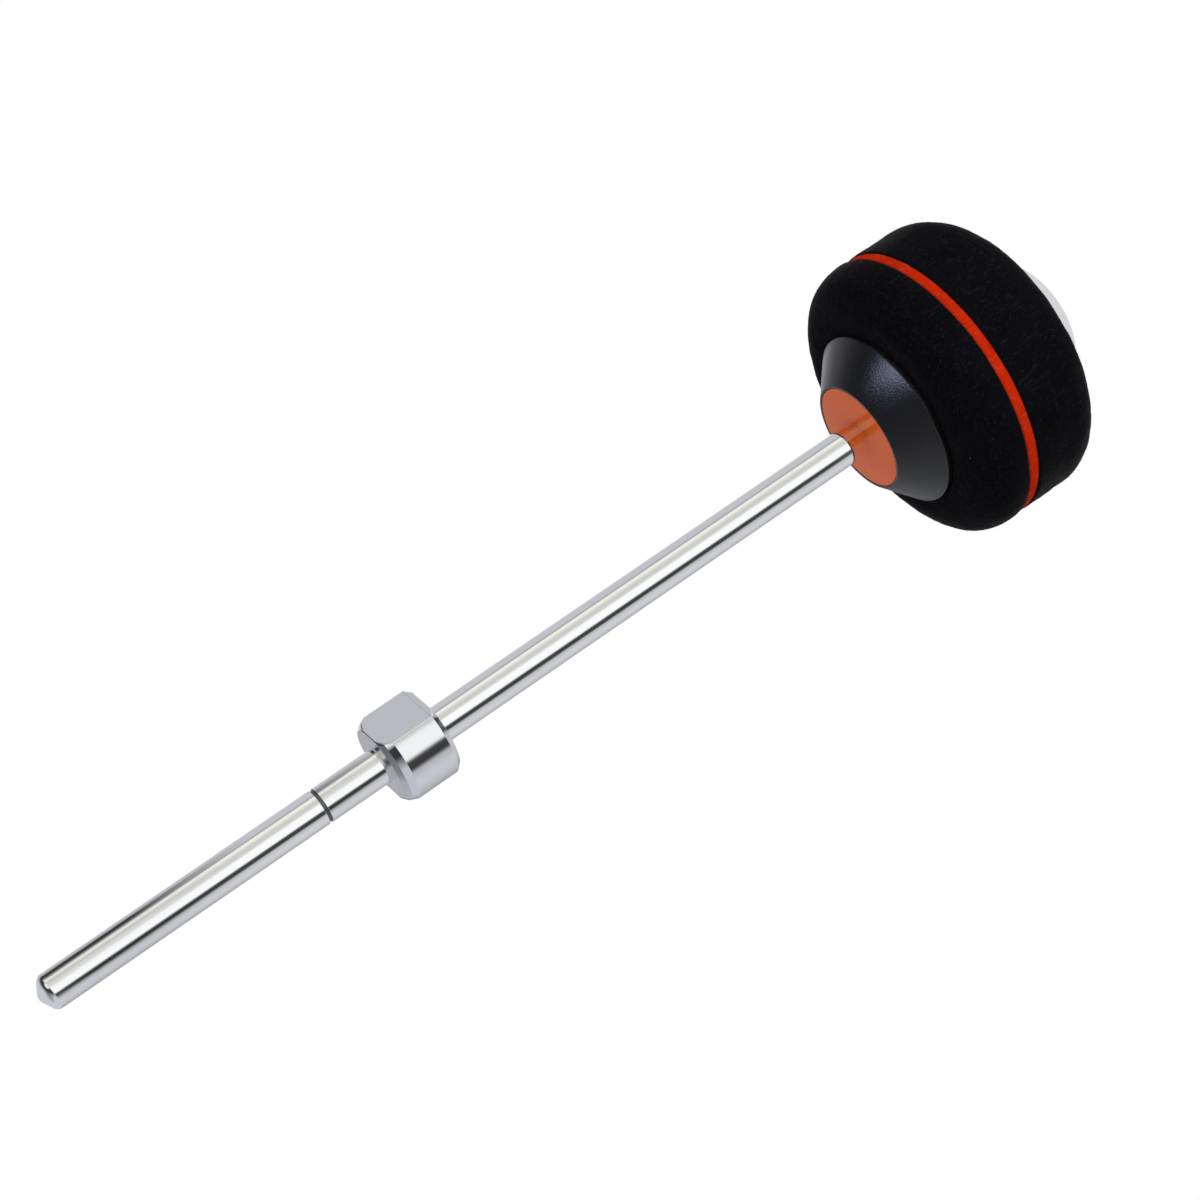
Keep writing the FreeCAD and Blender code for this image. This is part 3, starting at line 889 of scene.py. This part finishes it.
class BEATER_OT_collar(Operator):
    """Makes the sliding collar weight with its flats and tapped hole"""

    bl_idname = "beater.collar"
    bl_label = "Collar weight"

    def execute(self, context):
        sizes, finish = settings().collar, settings().finish
        tint = finish.collar_chrome
        plating = bright_plating("collar_chrome", tint, smoothest=0.03, roughest=0.07)
        # Darker copies of the collar chrome for the chamfers and the end faces: painted shade that
        # stands in for the darker reflections there, with rougher finishes as well
        chamfer = bright_plating(
            "collar_chamfer_painted_shade", darker(tint, 0.76), smoothest=0.09, roughest=0.16
        )
        shaded_end_face = turned_metal("collar_end_face_painted_shade", darker(tint, 0.6), roughness=0.2, scale=2500)
        low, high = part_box("collar_weight")
        radius = high.x
        bore = node_radius("shaft") + sizes.bore_gap
        mouth = bore + sizes.bore_chamfer
        slope_start = low.z + sizes.lower_chamfer - sizes.slope_depth
        edge = sizes.turned_round
        shape = lathe(round_corners([
            (mouth, low.z, 0),
            (radius - sizes.lower_chamfer, low.z, edge),
            (radius - sizes.slope_depth, slope_start, edge),
            (radius, slope_start + sizes.slope_height, edge),
            (radius, high.z - sizes.upper_chamfer, edge),
            (radius - sizes.upper_chamfer, high.z, edge),
            (mouth, high.z, 0),
            (bore, high.z - sizes.bore_chamfer, 0),
            (bore, low.z + sizes.bore_chamfer, 0),
        ], steps=3), sizes.segments)
        cut_flats(shape, high.y, 2)
        self.break_flats(shape, high.y, sizes.edge_round, (low.z, high.z))
        shape.normal_update()
        # Faces are sorted by tilt to take the plain chrome or the darker painted-shade copies
        for face in shape.faces:
            tilt = abs(face.normal.z)
            face.material_index = (tilt > CHAMFER_TILT) + (tilt > END_FACE_TILT)
        made = new_object("collar_turned", shape, plating, chamfer, shaded_end_face)
        drill(made, self.hole_cutter(sizes, radius))
        sharpen(made)
        even_normals(made)
        seat(made, COLLAR_BODY, "chrome_collar", "collar_weight")
        return {"FINISHED"}

    def break_flats(self, shape, distance, width, ends):
        """Rounds the edges of the two flats, cut at the distance from the shaft's axis."""
        def on_flat(place):
            return abs(abs(place.y) - distance) < width / 100

        merge = width / 3
        corners = [vert for vert in shape.verts if on_flat(vert.co)]
        bmesh.ops.remove_doubles(shape, verts=corners, dist=merge)
        for vert in shape.verts:
            for end in ends:
                if on_flat(vert.co) and abs(vert.co.z - end) < merge:
                    vert.co.z = end
        rims = {
            edge for face in shape.faces if on_flat(face.calc_center_median())
            for edge in face.edges
        }
        bmesh.ops.bevel(
            shape, geom=list(rims), offset=width, offset_type="OFFSET",
            segments=3, profile=0.5, affect="EDGES", clamp_overlap=False,
        )
        for vert in shape.verts:
            vert.co.z = min(max(vert.co.z, ends[0]), ends[1])

    def hole_cutter(self, sizes, reach):
        """Round bar for the clamp screw's hole, from the shaft's axis out past the collar."""
        low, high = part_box("clamp_screw")
        hole = (high.z - low.z) / 2 + sizes.bore_gap
        outside = reach + hole
        bar = outline((0, 0), (hole, 0), (hole, outside), (0, outside))
        shape = lathe(bar, SCREW_SEGMENTS)
        shape.transform(along_minus_x(0, (low.z + high.z) / 2))
        return new_object("hole_cutter", shape)


class BEATER_OT_clamp(Operator):
    """Makes the socket screw that clamps the collar, and finishes its pad"""

    bl_idname = "beater.clamp"
    bl_label = "Clamp screw and pad"

    def execute(self, context):
        sizes, finish = settings().collar, settings().finish
        oxide = satin_coat(
            "black_oxide", finish.black_oxide, roughness=0.35, scale=3000, depth=0.002 * MM
        )
        low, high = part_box("clamp_screw")
        radius = (high.z - low.z) / 2
        run = high.x - low.x
        bar = outline(
            (0, 0),
            (radius - sizes.screw_chamfer, 0),
            (radius, sizes.screw_chamfer),
            (radius, run - sizes.screw_chamfer),
            (radius - sizes.screw_chamfer, run),
            (0, run),
        )
        step = sizes.screw_pitch / THREAD_STEPS
        points = divide(bar, step, lambda start, end: min(start.x, end.x) > 0)
        made = new_object("clamp_screw_cut", lathe(points, SCREW_SEGMENTS), oxide)
        run_nodes(made, thread_tree(), {
            "Pitch": sizes.screw_pitch, "Depth": sizes.screw_depth,
            "Start": -run, "End": run * 2, "Crest": radius, "Finish": oxide,
        })
        drill(made, self.socket_cutter(sizes, run))
        made.data.transform(along_minus_x(high.x, (low.z + high.z) / 2))
        sharpen(made)
        seat(made, SCREW_BODY, "black_screw", "clamp_screw")
        dress("clamp_pad", turned_metal("pad_brass", finish.brass, roughness=0.3, scale=4000))
        return {"FINISHED"}

    def socket_cutter(self, sizes, run):
        """Hexagon bar that cuts the socket into the screw's outer end."""
        shape = bmesh.new()
        floor = run - sizes.socket_depth
        hexagon = [shape.verts.new((x, y, floor)) for x, y in hexagon_points(sizes.socket_width)]
        base = shape.faces.new(hexagon)
        raised = bmesh.ops.extrude_face_region(shape, geom=[base])["geom"]
        corners = [item for item in raised if isinstance(item, bmesh.types.BMVert)]
        bmesh.ops.translate(shape, vec=(0, 0, sizes.socket_depth * 2), verts=corners)
        bmesh.ops.recalc_face_normals(shape, faces=shape.faces)
        return new_object("socket_cutter", shape)


class BEATER_OT_hubs(Operator):
    """Turns the two cones and the bright inlay"""

    bl_idname = "beater.hubs"
    bl_label = "Cones and inlay"

    def execute(self, context):
        sizes, finish = settings().hubs, settings().finish
        bore, rod = settings().shaft.thread_radius, node_radius("shaft")
        inlay_radius = node_radius("hub_inlay")
        inlay_low, inlay_high = node_span("hub_inlay")
        recess = inlay_radius + sizes.seat_gap
        face_radius = recess + sizes.lip
        rim = node_radius("lower_hub")
        low, high = node_span("lower_hub")
        black = satin_coat(
            "satin_black", finish.black_hub, roughness=0.29, scale=2800, depth=0.055 * MM
        )
        self.turn("lower_cone", black, "black_hub", "lower_hub", [
            (bore, inlay_high, 0),
            (recess, inlay_high, 0),
            (recess, low, sizes.edge_round),
            (face_radius, low, sizes.edge_round),
            (rim, high - sizes.rim_height, sizes.rim_round),
            (rim, high, sizes.edge_round),
            (bore, high, 0),
        ])
        orange = gloss_enamel("orange_enamel", finish.orange_inlay, scale=1800)
        self.turn("bright_inlay", orange, "orange_inlay", "hub_inlay", [
            (rod, inlay_low, 0),
            (inlay_radius, inlay_low, sizes.edge_round),
            (inlay_radius, inlay_high, 0),
            (rod, inlay_high, 0),
        ])
        low, high = node_span("upper_hub")
        recess_floor = node_span("flat_washer")[0]
        silver = turned_metal("satin_silver", finish.silver_hub, roughness=0.3, scale=3500)
        self.turn("upper_cone", silver, "silver_hub", "upper_hub", [
            (bore, low, 0),
            (rim, low, sizes.edge_round),
            (rim, low + sizes.rim_height, sizes.rim_round),
            (face_radius, high, sizes.edge_round),
            (sizes.recess_radius, high, sizes.edge_round),
            (sizes.recess_radius, recess_floor, sizes.edge_round),
            (bore, recess_floor, 0),
        ])
        return {"FINISHED"}

    def turn(self, name, material, slot, node, corners):
        """Turns one piece of the head, and puts it in the place of its node."""
        made = new_object(name, lathe(round_corners(corners), settings().hubs.segments), material)
        sharpen(made)
        seat(made, HEAD_BODY, slot, node)


class BEATER_OT_fasteners(Operator):
    """Makes the nut, and finishes the washers and the sleeve inside the felt"""

    bl_idname = "beater.fasteners"
    bl_label = "Nut and washers"

    def execute(self, context):
        sizes, finish = settings().hubs, settings().finish
        zinc = turned_metal("bright_zinc", finish.zinc, roughness=0.26, scale=4200)
        low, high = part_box("lock_nut")
        corner = high.y
        flat_distance = corner * math.sqrt(3) / 2
        bore = settings().shaft.thread_radius
        half_chamfer = sizes.nut_chamfer / 2
        chamfer_drop = (corner - flat_distance) * math.tan(NUT_CHAMFER_ANGLE) + half_chamfer
        shape = lathe(outline(
            (bore, low.z),
            (corner, low.z),
            (corner, high.z - chamfer_drop),
            (flat_distance - half_chamfer, high.z),
            (bore, high.z),
        ), NUT_SEGMENTS)
        cut_flats(shape, flat_distance, 6)
        shape.transform(Matrix.Rotation(math.pi / 6, 4, "Z"))
        made = new_object("lock_nut_cut", shape, zinc)
        break_edges(made, sizes.edge_round / 2)
        seat(made, HEAD_BODY, "zinc_steel", "lock_nut")
        for node in ("flat_washer", "lock_washer"):
            dress(node, zinc)
        sleeve = turned_metal("sleeve_tube", finish.silver_hub, roughness=0.35, scale=3000)
        dress("core_sleeve", sleeve)
        return {"FINISHED"}


# Sizes of the felt's swellings with their shares, and of its straying seams
SWELLS = ((17 * MM, 1), (5 * MM, 0.5), (1.5 * MM, 0.25))
WANDER_SIZE = 2.5 * MM

# How near the cones and the seams the felt evens out, and the bare share of a rolled edge
RIM_FADE = 4 * MM
SEAM_FADE = 0.3 * MM
SEAM_MARGIN = 1 / 40
SEED_STEP = 10


class BEATER_OT_felts(Operator):
    """Makes the three felt rings with their nap and stray fibres"""

    bl_idname = "beater.felts"
    bl_label = "Felt rings"

    def execute(self, context):
        sizes, finish = settings().felts, settings().finish
        dye, bright = finish.black_felt, finish.orange_felt
        black = felt_finish("black_wool", dye, lighter(dye, 0.008), sheen=0.16)
        orange = felt_finish("orange_wool", bright, lighter(bright, 0.03), sheen=0.04)
        naps = {
            black: felt_finish("black_nap", darker(dye, 0.5), dye),
            orange: felt_finish("orange_nap", bright, bright),
        }
        lint = felt_finish("pale_lint", finish.lint, finish.lint)
        loose = felt_finish("loose_fibre", finish.stray, finish.stray)
        clear = node_radius("lower_hub")
        radius, stripe_radius = node_radius("lower_felt"), node_radius("stripe_felt")
        low, high = node_span("lower_felt")[0], node_span("upper_felt")[1]
        seam_low, seam_high = (height + sizes.lift for height in node_span("stripe_felt"))
        tucked_low, tucked_high = seam_low + sizes.tuck, seam_high - sizes.tuck
        lower_rounds = (sizes.lower_round, sizes.roll)
        upper_rounds = (sizes.roll, sizes.upper_round)
        rings = (
            ("lower_felt", black, "black_felt", low, tucked_low, radius, lower_rounds),
            ("stripe_felt", orange, "orange_felt", seam_low, seam_high, stripe_radius, (0, 0)),
            ("upper_felt", black, "black_felt", tucked_high, high, radius, upper_rounds),
        )
        margin = sizes.roll * SEAM_MARGIN
        nap, stray = nap_tree(), stray_tree()
        nap_size = (sizes.nap_length, sizes.nap_thickness)
        lint_size = (sizes.stray_length / 2, sizes.stray_thickness)
        stray_size = (sizes.stray_length, sizes.stray_thickness)
        loose_kinds = (
            ("lint", stray, lint, sizes.lint_density, *lint_size),
            ("stray", stray, loose, sizes.stray_density, *stray_size),
        )
        for number, (node, wool, slot, bottom, top, outside, rounds) in enumerate(rings):
            shape = self.ring(sizes, bottom, top, outside, rounds)
            self.roughen(shape, sizes, clear, (tucked_low, tucked_high))
            made = new_object(f"{node}_ring", shape, wool)
            seat(made, HEAD_BODY, slot, node)
            kinds = [("nap", nap, naps[wool], sizes.nap_density, *nap_size)]
            if wool == black:
                kinds += loose_kinds
            for order, (kind, tree, material, density, longest, thickness) in enumerate(kinds):
                self.fibres(made, kind, tree, slot, {
                    "Density": density, "Length": longest, "Thickness": thickness,
                    "Clear Radius": clear,
                    "Lowest": bottom if bottom == low else bottom + margin,
                    "Highest": top if top == high else top - margin,
                    "Seed": sizes.seed + order * SEED_STEP + number, "Finish": material,
                })
        return {"FINISHED"}

    def fibres(self, ring, kind, tree, slot, values):
        """Scatters one kind of fibre over a felt ring, as a piece of its own."""
        made = bpy.data.objects.new(f"{ring.name}_{kind}", ring.data.copy())
        bpy.context.scene.collection.objects.link(made)
        run_nodes(made, tree, values)
        seat(made, HEAD_BODY, slot)

    def ring(self, sizes, bottom, top, outside, rounds):
        """Felt ring with rounded edges."""
        corners = [
            (sizes.bore, bottom, 0),
            (outside, bottom, rounds[0]),
            (outside, top, rounds[1]),
            (sizes.bore, top, 0),
        ]
        points = divide(
            round_corners(corners, steps=12), sizes.mesh_step,
            lambda start, end: max(start.x, end.x) > sizes.bore,
        )
        return lathe(points, sizes.segments)

    def roughen(self, shape, sizes, clear, seams):
        """Swells and sinks the free felt by noise of three sizes, and lets its seams stray."""
        shape.normal_update()
        moves = []
        for vert in shape.verts:
            free = min(max((vert.co.xy.length - clear) / RIM_FADE, 0), 1)
            beside = min(min(abs(vert.co.z - height) for height in seams) / SEAM_FADE, 1)
            swell = sum(share * noise.noise(vert.co / size) for size, share in SWELLS)
            stray = noise.noise(vert.co / WANDER_SIZE) * sizes.wander * (1 - beside)
            push = vert.normal * sizes.unevenness * swell * beside
            moves.append(free * (push + Vector((0, 0, stray))))
        for vert, move in zip(shape.verts, moves):
            vert.co += move


# The lamps, the camera and the floor's fade, as shares of the floor's radius
KEY_PLACE = (0.55, -0.75, 0.75)
KEY_WIDTH = 0.6
CONE_SIDE = (0.5, -0.866, 0)
CONE_LAMP_WIDTHS = (30 * MM, 7 * MM)
CONE_LAMP_TINT = (0.62, 0.7, 1)
SENSOR_WIDTH = 36
NEAREST = 0.01
FLOOR_FADE = (0.12, 0.6)
WHITE = (1, 1, 1, 1)

# Colours of what bright metal mirrors
TABLE = (0.57, 0.585, 0.63, 1)
SHADE = (0.045, 0.045, 0.05, 1)
PANEL_EDGE = (0.85, 0.85, 0.82, 1)
CEILING = (0.73, 0.735, 0.75, 1)

# The rise where the mirrored walls change, and where the ceiling begins
WALL_CHANGE = (math.radians(5), math.radians(10))
CEILING_START = (math.radians(26), math.radians(40))

# The table's edge, and what lies on it, as (side, lean at the start, lean when full, share, colour)
TABLE_UP = (-0.125, -0.151, 0.981)
TABLE_EDGE = (-0.26, -0.1)
TABLE_MARKS = (
    ((0.0349, -0.9994, 0.0), -0.05, 0.45, 1, SHADE),
    ((0.3686, 0.067, -0.9272), 0.82, 0.99, 0.55, SHADE),
    ((0.1178, -0.9197, -0.3746), 0.905, 0.96, 1, PANEL_EDGE),
)

# The mirrored walls, as (degrees round the shaft from the camera, brightness, warmth)
HIGH_PANELS = (
    (-180, 0.75, -0.05),
    (-165, 0.95, -0.05),
    (-150, 0.56, -0.05),
    (-94, 0.55, -0.05),
    (-90, 0.5, -0.03),
    (-86, 0.38, 0.0),
    (-83, 0.36, 0.02),
    (-79, 0.55, 0.04),
    (-73, 0.86, 0.05),
    (-67, 0.92, 0.06),
    (-57, 0.78, 0.07),
    (-45, 0.63, 0.07),
    (-33, 0.61, 0.07),
    (-23, 0.7, 0.05),
    (-15, 0.96, 0.01),
    (-8, 1.0, 0.0),
    (19, 1.0, 0.0),
    (24, 0.72, 0.0),
    (28, 0.24, 0.0),
    (32, 0.06, 0.0),
    (46, 0.04, 0.0),
    (51, 0.13, 0.0),
    (56, 0.4, -0.02),
    (61, 0.52, -0.04),
    (78, 0.62, -0.05),
    (97, 0.64, -0.05),
    (126, 0.53, -0.05),
    (150, 0.39, -0.09),
    (170, 0.28, -0.12),
    (179, 0.5, -0.05),
)
LOW_PANELS = (
    (-180, 0.75, -0.05),
    (-165, 0.95, -0.05),
    (-150, 0.55, -0.05),
    (-131, 0.5, -0.04),
    (-120, 0.37, -0.02),
    (-110, 0.05, 0.0),
    (-96, 0.03, 0.0),
    (-85, 0.16, 0.04),
    (-77, 0.48, 0.06),
    (-68, 0.86, 0.07),
    (-60, 0.72, 0.08),
    (-50, 0.55, 0.09),
    (-36, 0.68, 0.07),
    (-24, 0.73, 0.05),
    (-12, 0.95, 0.0),
    (17, 1.0, 0.0),
    (22, 0.85, 0.0),
    (28, 0.2, 0.0),
    (34, 0.04, 0.0),
    (44, 0.03, 0.0),
    (51, 0.16, -0.02),
    (59, 0.4, -0.04),
    (75, 0.58, -0.05),
    (103, 0.58, -0.05),
    (127, 0.46, -0.06),
    (150, 0.38, -0.09),
    (170, 0.38, -0.12),
    (179, 0.56, -0.05),
)


class BEATER_OT_stage(Operator):
    """Sets the pale floor, the studio light and the camera"""

    bl_idname = "beater.stage"
    bl_label = "Stage"

    def execute(self, context):
        scene, sizes = context.scene, settings().stage
        scene.view_settings.view_transform = "Standard"
        self.floor(sizes)
        self.world(scene, sizes)
        self.key_lamp(scene, sizes)
        self.cone_lamp(scene, sizes)
        self.camera(scene, sizes)
        return {"FINISHED"}

    def floor(self, sizes):
        """Pale disc under the tip, clear from below and fading into the white background."""
        shape = bmesh.new()
        bmesh.ops.create_circle(shape, cap_ends=True, segments=96, radius=sizes.floor_radius)
        paper, tree, sockets = new_finish("floor_paper", {
            "Roughness": 0.9, "Specular IOR Level": 0.1,
        })
        grain = use_group(tree, "coat_grain", Scale=300)
        tint = settings().finish.floor
        mottle(tree, sockets, grain["Shade"], darker(tint, 0.985), tint)
        shader = next(item for item in tree.nodes if item.type == "BSDF_PRINCIPLED")
        output = next(item for item in tree.nodes if item.type == "OUTPUT_MATERIAL")
        white = add(tree, "ShaderNodeEmission", {"Color": WHITE, "Strength": 1}).outputs[0]
        away = vector_length(tree, object_place(tree))
        far = ranged(tree, away, *(sizes.floor_radius * share for share in FLOOR_FADE))
        seen = add(tree, "ShaderNodeLightPath").outputs["Is Camera Ray"]
        fading = math_node(tree, "MULTIPLY", far, seen)
        faded = self.mixed_shader(tree, fading, shader.outputs[0], white)
        behind = add(tree, "ShaderNodeNewGeometry").outputs["Backfacing"]
        clear = add(tree, "ShaderNodeBsdfTransparent").outputs[0]
        one_sided = self.mixed_shader(tree, behind, faded, clear)
        tree.links.new(one_sided, output.inputs["Surface"])
        floor = new_object("floor", shape, paper)
        floor.visible_glossy = False

    def mixed_shader(self, tree, factor, low, high):
        """The shader between two shaders."""
        return add(tree, "ShaderNodeMixShader", {0: factor, 1: low, 2: high}).outputs[0]

    def world(self, scene, sizes):
        """White to the camera, a studio of panels to bright metal, and even light to the rest."""
        world = bpy.data.worlds.new("studio")
        scene.world = world
        world.use_nodes = True
        tree = world.node_tree
        tree.nodes.clear()
        toward = add(tree, "ShaderNodeTexCoord").outputs["Generated"]
        wrap, even, white = (
            add(tree, "ShaderNodeBackground", {"Color": tint, "Strength": strength}).outputs[0]
            for tint, strength in (
                (self.mirrored_room(tree, toward, sizes), 1), (WHITE, sizes.ambient), (WHITE, 1)
            )
        )
        path = add(tree, "ShaderNodeLightPath").outputs
        mirrored = math_node(tree, "MAXIMUM", path["Is Glossy Ray"], path["Is Transmission Ray"])
        lit = self.mixed_shader(tree, mirrored, even, wrap)
        shown = self.mixed_shader(tree, path["Is Camera Ray"], lit, white)
        add(tree, "ShaderNodeOutputWorld", {"Surface": shown})

    def mirrored_room(self, tree, toward, sizes):
        """What bright metal mirrors: panels all round, a pale shaded table and a ceiling."""
        axes = add(tree, "ShaderNodeSeparateXYZ", {0: toward}).outputs
        rise = math_node(tree, "ARCSINE", axes["Z"])
        camera_turn = math.atan2(sizes.camera_place[1], sizes.camera_place[0])
        azimuth = math_node(tree, "ARCTAN2", axes["Y"], axes["X"])
        turn = math_node(tree, "SUBTRACT", azimuth, camera_turn)
        slid = math_node(tree, "MULTIPLY_ADD", rise, -sizes.panel_slant, turn)
        turns = math_node(tree, "ADD", math_node(tree, "DIVIDE", slid, FULL_TURN), 0.5)
        share = math_node(tree, "FRACT", turns)
        low = self.panels(tree, share, LOW_PANELS)
        high = self.panels(tree, share, HIGH_PANELS)
        walls = mixed_colour(tree, ranged(tree, rise, *WALL_CHANGE), low, high)
        around = mixed_colour(tree, ranged(tree, rise, *CEILING_START), walls, CEILING)
        below = TABLE
        for side, start, full, strength, tint in TABLE_MARKS:
            marked = self.facing(tree, toward, side, start, full, strength)
            below = mixed_colour(tree, marked, below, tint)
        above = self.facing(tree, toward, TABLE_UP, *TABLE_EDGE)
        return mixed_colour(tree, above, below, around)

    def facing(self, tree, toward, side, start, full, strength=1):
        """How far a mirrored direction leans to one side, from 0 to a strength."""
        lean = add(tree, "ShaderNodeVectorMath", {0: toward, 1: side}, operation="DOT_PRODUCT")
        return ranged(tree, lean.outputs["Value"], start, full, 0, strength)

    def panels(self, tree, share, stops):
        """Colour ramp round the shaft from stops given as (degrees, brightness, warmth)."""
        ramp = add(tree, "ShaderNodeValToRGB", {"Fac": share})
        marks = ramp.color_ramp.elements
        marks.remove(marks[1])
        for number, (degrees, shade, warmth) in enumerate(stops):
            place = degrees / 360 + 0.5
            mark = marks.new(place) if number else marks[0]
            mark.position = place
            mark.color = (shade, shade, shade * (1 - warmth), 1)
        return ramp.outputs["Color"]

    def area_lamp(self, scene, name, shape, power, place, aim):
        """A soft lamp that hangs at a place, turned towards its aim."""
        lamp = bpy.data.lights.new(name, "AREA")
        lamp.shape = shape
        lamp.energy = power
        made = bpy.data.objects.new(name, lamp)
        made.location = place
        made.rotation_euler = (Vector(aim) - made.location).to_track_quat("-Z", "Y").to_euler()
        scene.collection.objects.link(made)
        return made, lamp

    def key_lamp(self, scene, sizes):
        """One broad soft lamp, high on the camera's side."""
        made, lamp = self.area_lamp(
            scene, "key", "DISK", sizes.key_power, KEY_PLACE, sizes.camera_aim
        )
        lamp.size = KEY_WIDTH
        made.visible_glossy = False

    def cone_lamp(self, scene, sizes):
        """A small bluish lamp low beside the head, that only lights the lower cone."""
        rim = Vector(CONE_SIDE) * node_radius("lower_hub")
        rim.z = node_span("lower_hub")[1]
        made, lamp = self.area_lamp(
            scene, "cone_lamp", "ELLIPSE", sizes.cone_power, sizes.cone_lamp_place, rim
        )
        lamp.size, lamp.size_y = CONE_LAMP_WIDTHS
        lamp.color = CONE_LAMP_TINT
        made.visible_camera = False
        lit = bpy.data.collections.new("cone_lamp_lights")
        lit.objects.link(bpy.data.objects["lower_cone"])
        made.light_linking.receiver_collection = lit

    def camera(self, scene, sizes):
        """The photograph's camera."""
        lens = bpy.data.cameras.new("camera")
        lens.lens = sizes.camera_lens
        lens.sensor_width = SENSOR_WIDTH
        lens.clip_start = NEAREST
        made = bpy.data.objects.new("camera", lens)
        place = Vector(sizes.camera_place)
        aim = Vector(sizes.camera_aim) - place
        made.matrix_world = (
            Matrix.Translation(place)
            @ aim.to_track_quat("-Z", "Y").to_matrix().to_4x4()
            @ Matrix.Rotation(sizes.camera_roll, 4, "Z")
        )
        scene.collection.objects.link(made)
        scene.camera = made


# Panel and registration

class BEATER_PT_beater(Panel):
    """Lists the beater's operators and settings"""

    bl_idname = "BEATER_PT_beater"
    bl_label = "Bass drum beater"
    bl_space_type = "VIEW_3D"
    bl_region_type = "UI"
    bl_category = "Beater"

    def draw(self, context):
        for operator in OPERATORS:
            self.layout.operator(operator.bl_idname)
        for group_name in BeaterSettings.__annotations__:
            group = getattr(context.scene.beater, group_name)
            box = self.layout.box()
            box.label(text=group_name.replace("_", " ").capitalize())
            for setting in type(group).__annotations__:
                box.prop(group, setting)


OPERATORS = (
    BEATER_OT_shaft,
    BEATER_OT_collar,
    BEATER_OT_clamp,
    BEATER_OT_hubs,
    BEATER_OT_fasteners,
    BEATER_OT_felts,
    BEATER_OT_stage,
)

CLASSES = (
    ShaftSettings,
    CollarSettings,
    HubSettings,
    FeltSettings,
    FinishSettings,
    StageSettings,
    BeaterSettings,
    *OPERATORS,
    BEATER_PT_beater,
)


def register():
    """Makes the settings, operators and panel known to Blender."""
    for item in CLASSES:
        bpy.utils.register_class(item)
    bpy.types.Scene.beater = PointerProperty(type=BeaterSettings)


def unregister():
    """Takes them out again."""
    del bpy.types.Scene.beater
    for item in reversed(CLASSES):
        bpy.utils.unregister_class(item)


def main():
    """Makes every piece and the stage."""
    register()
    bpy.ops.beater.shaft()
    bpy.ops.beater.collar()
    bpy.ops.beater.clamp()
    bpy.ops.beater.hubs()
    bpy.ops.beater.fasteners()
    bpy.ops.beater.felts()
    bpy.ops.beater.stage()


if __name__ == "__main__":
    main()
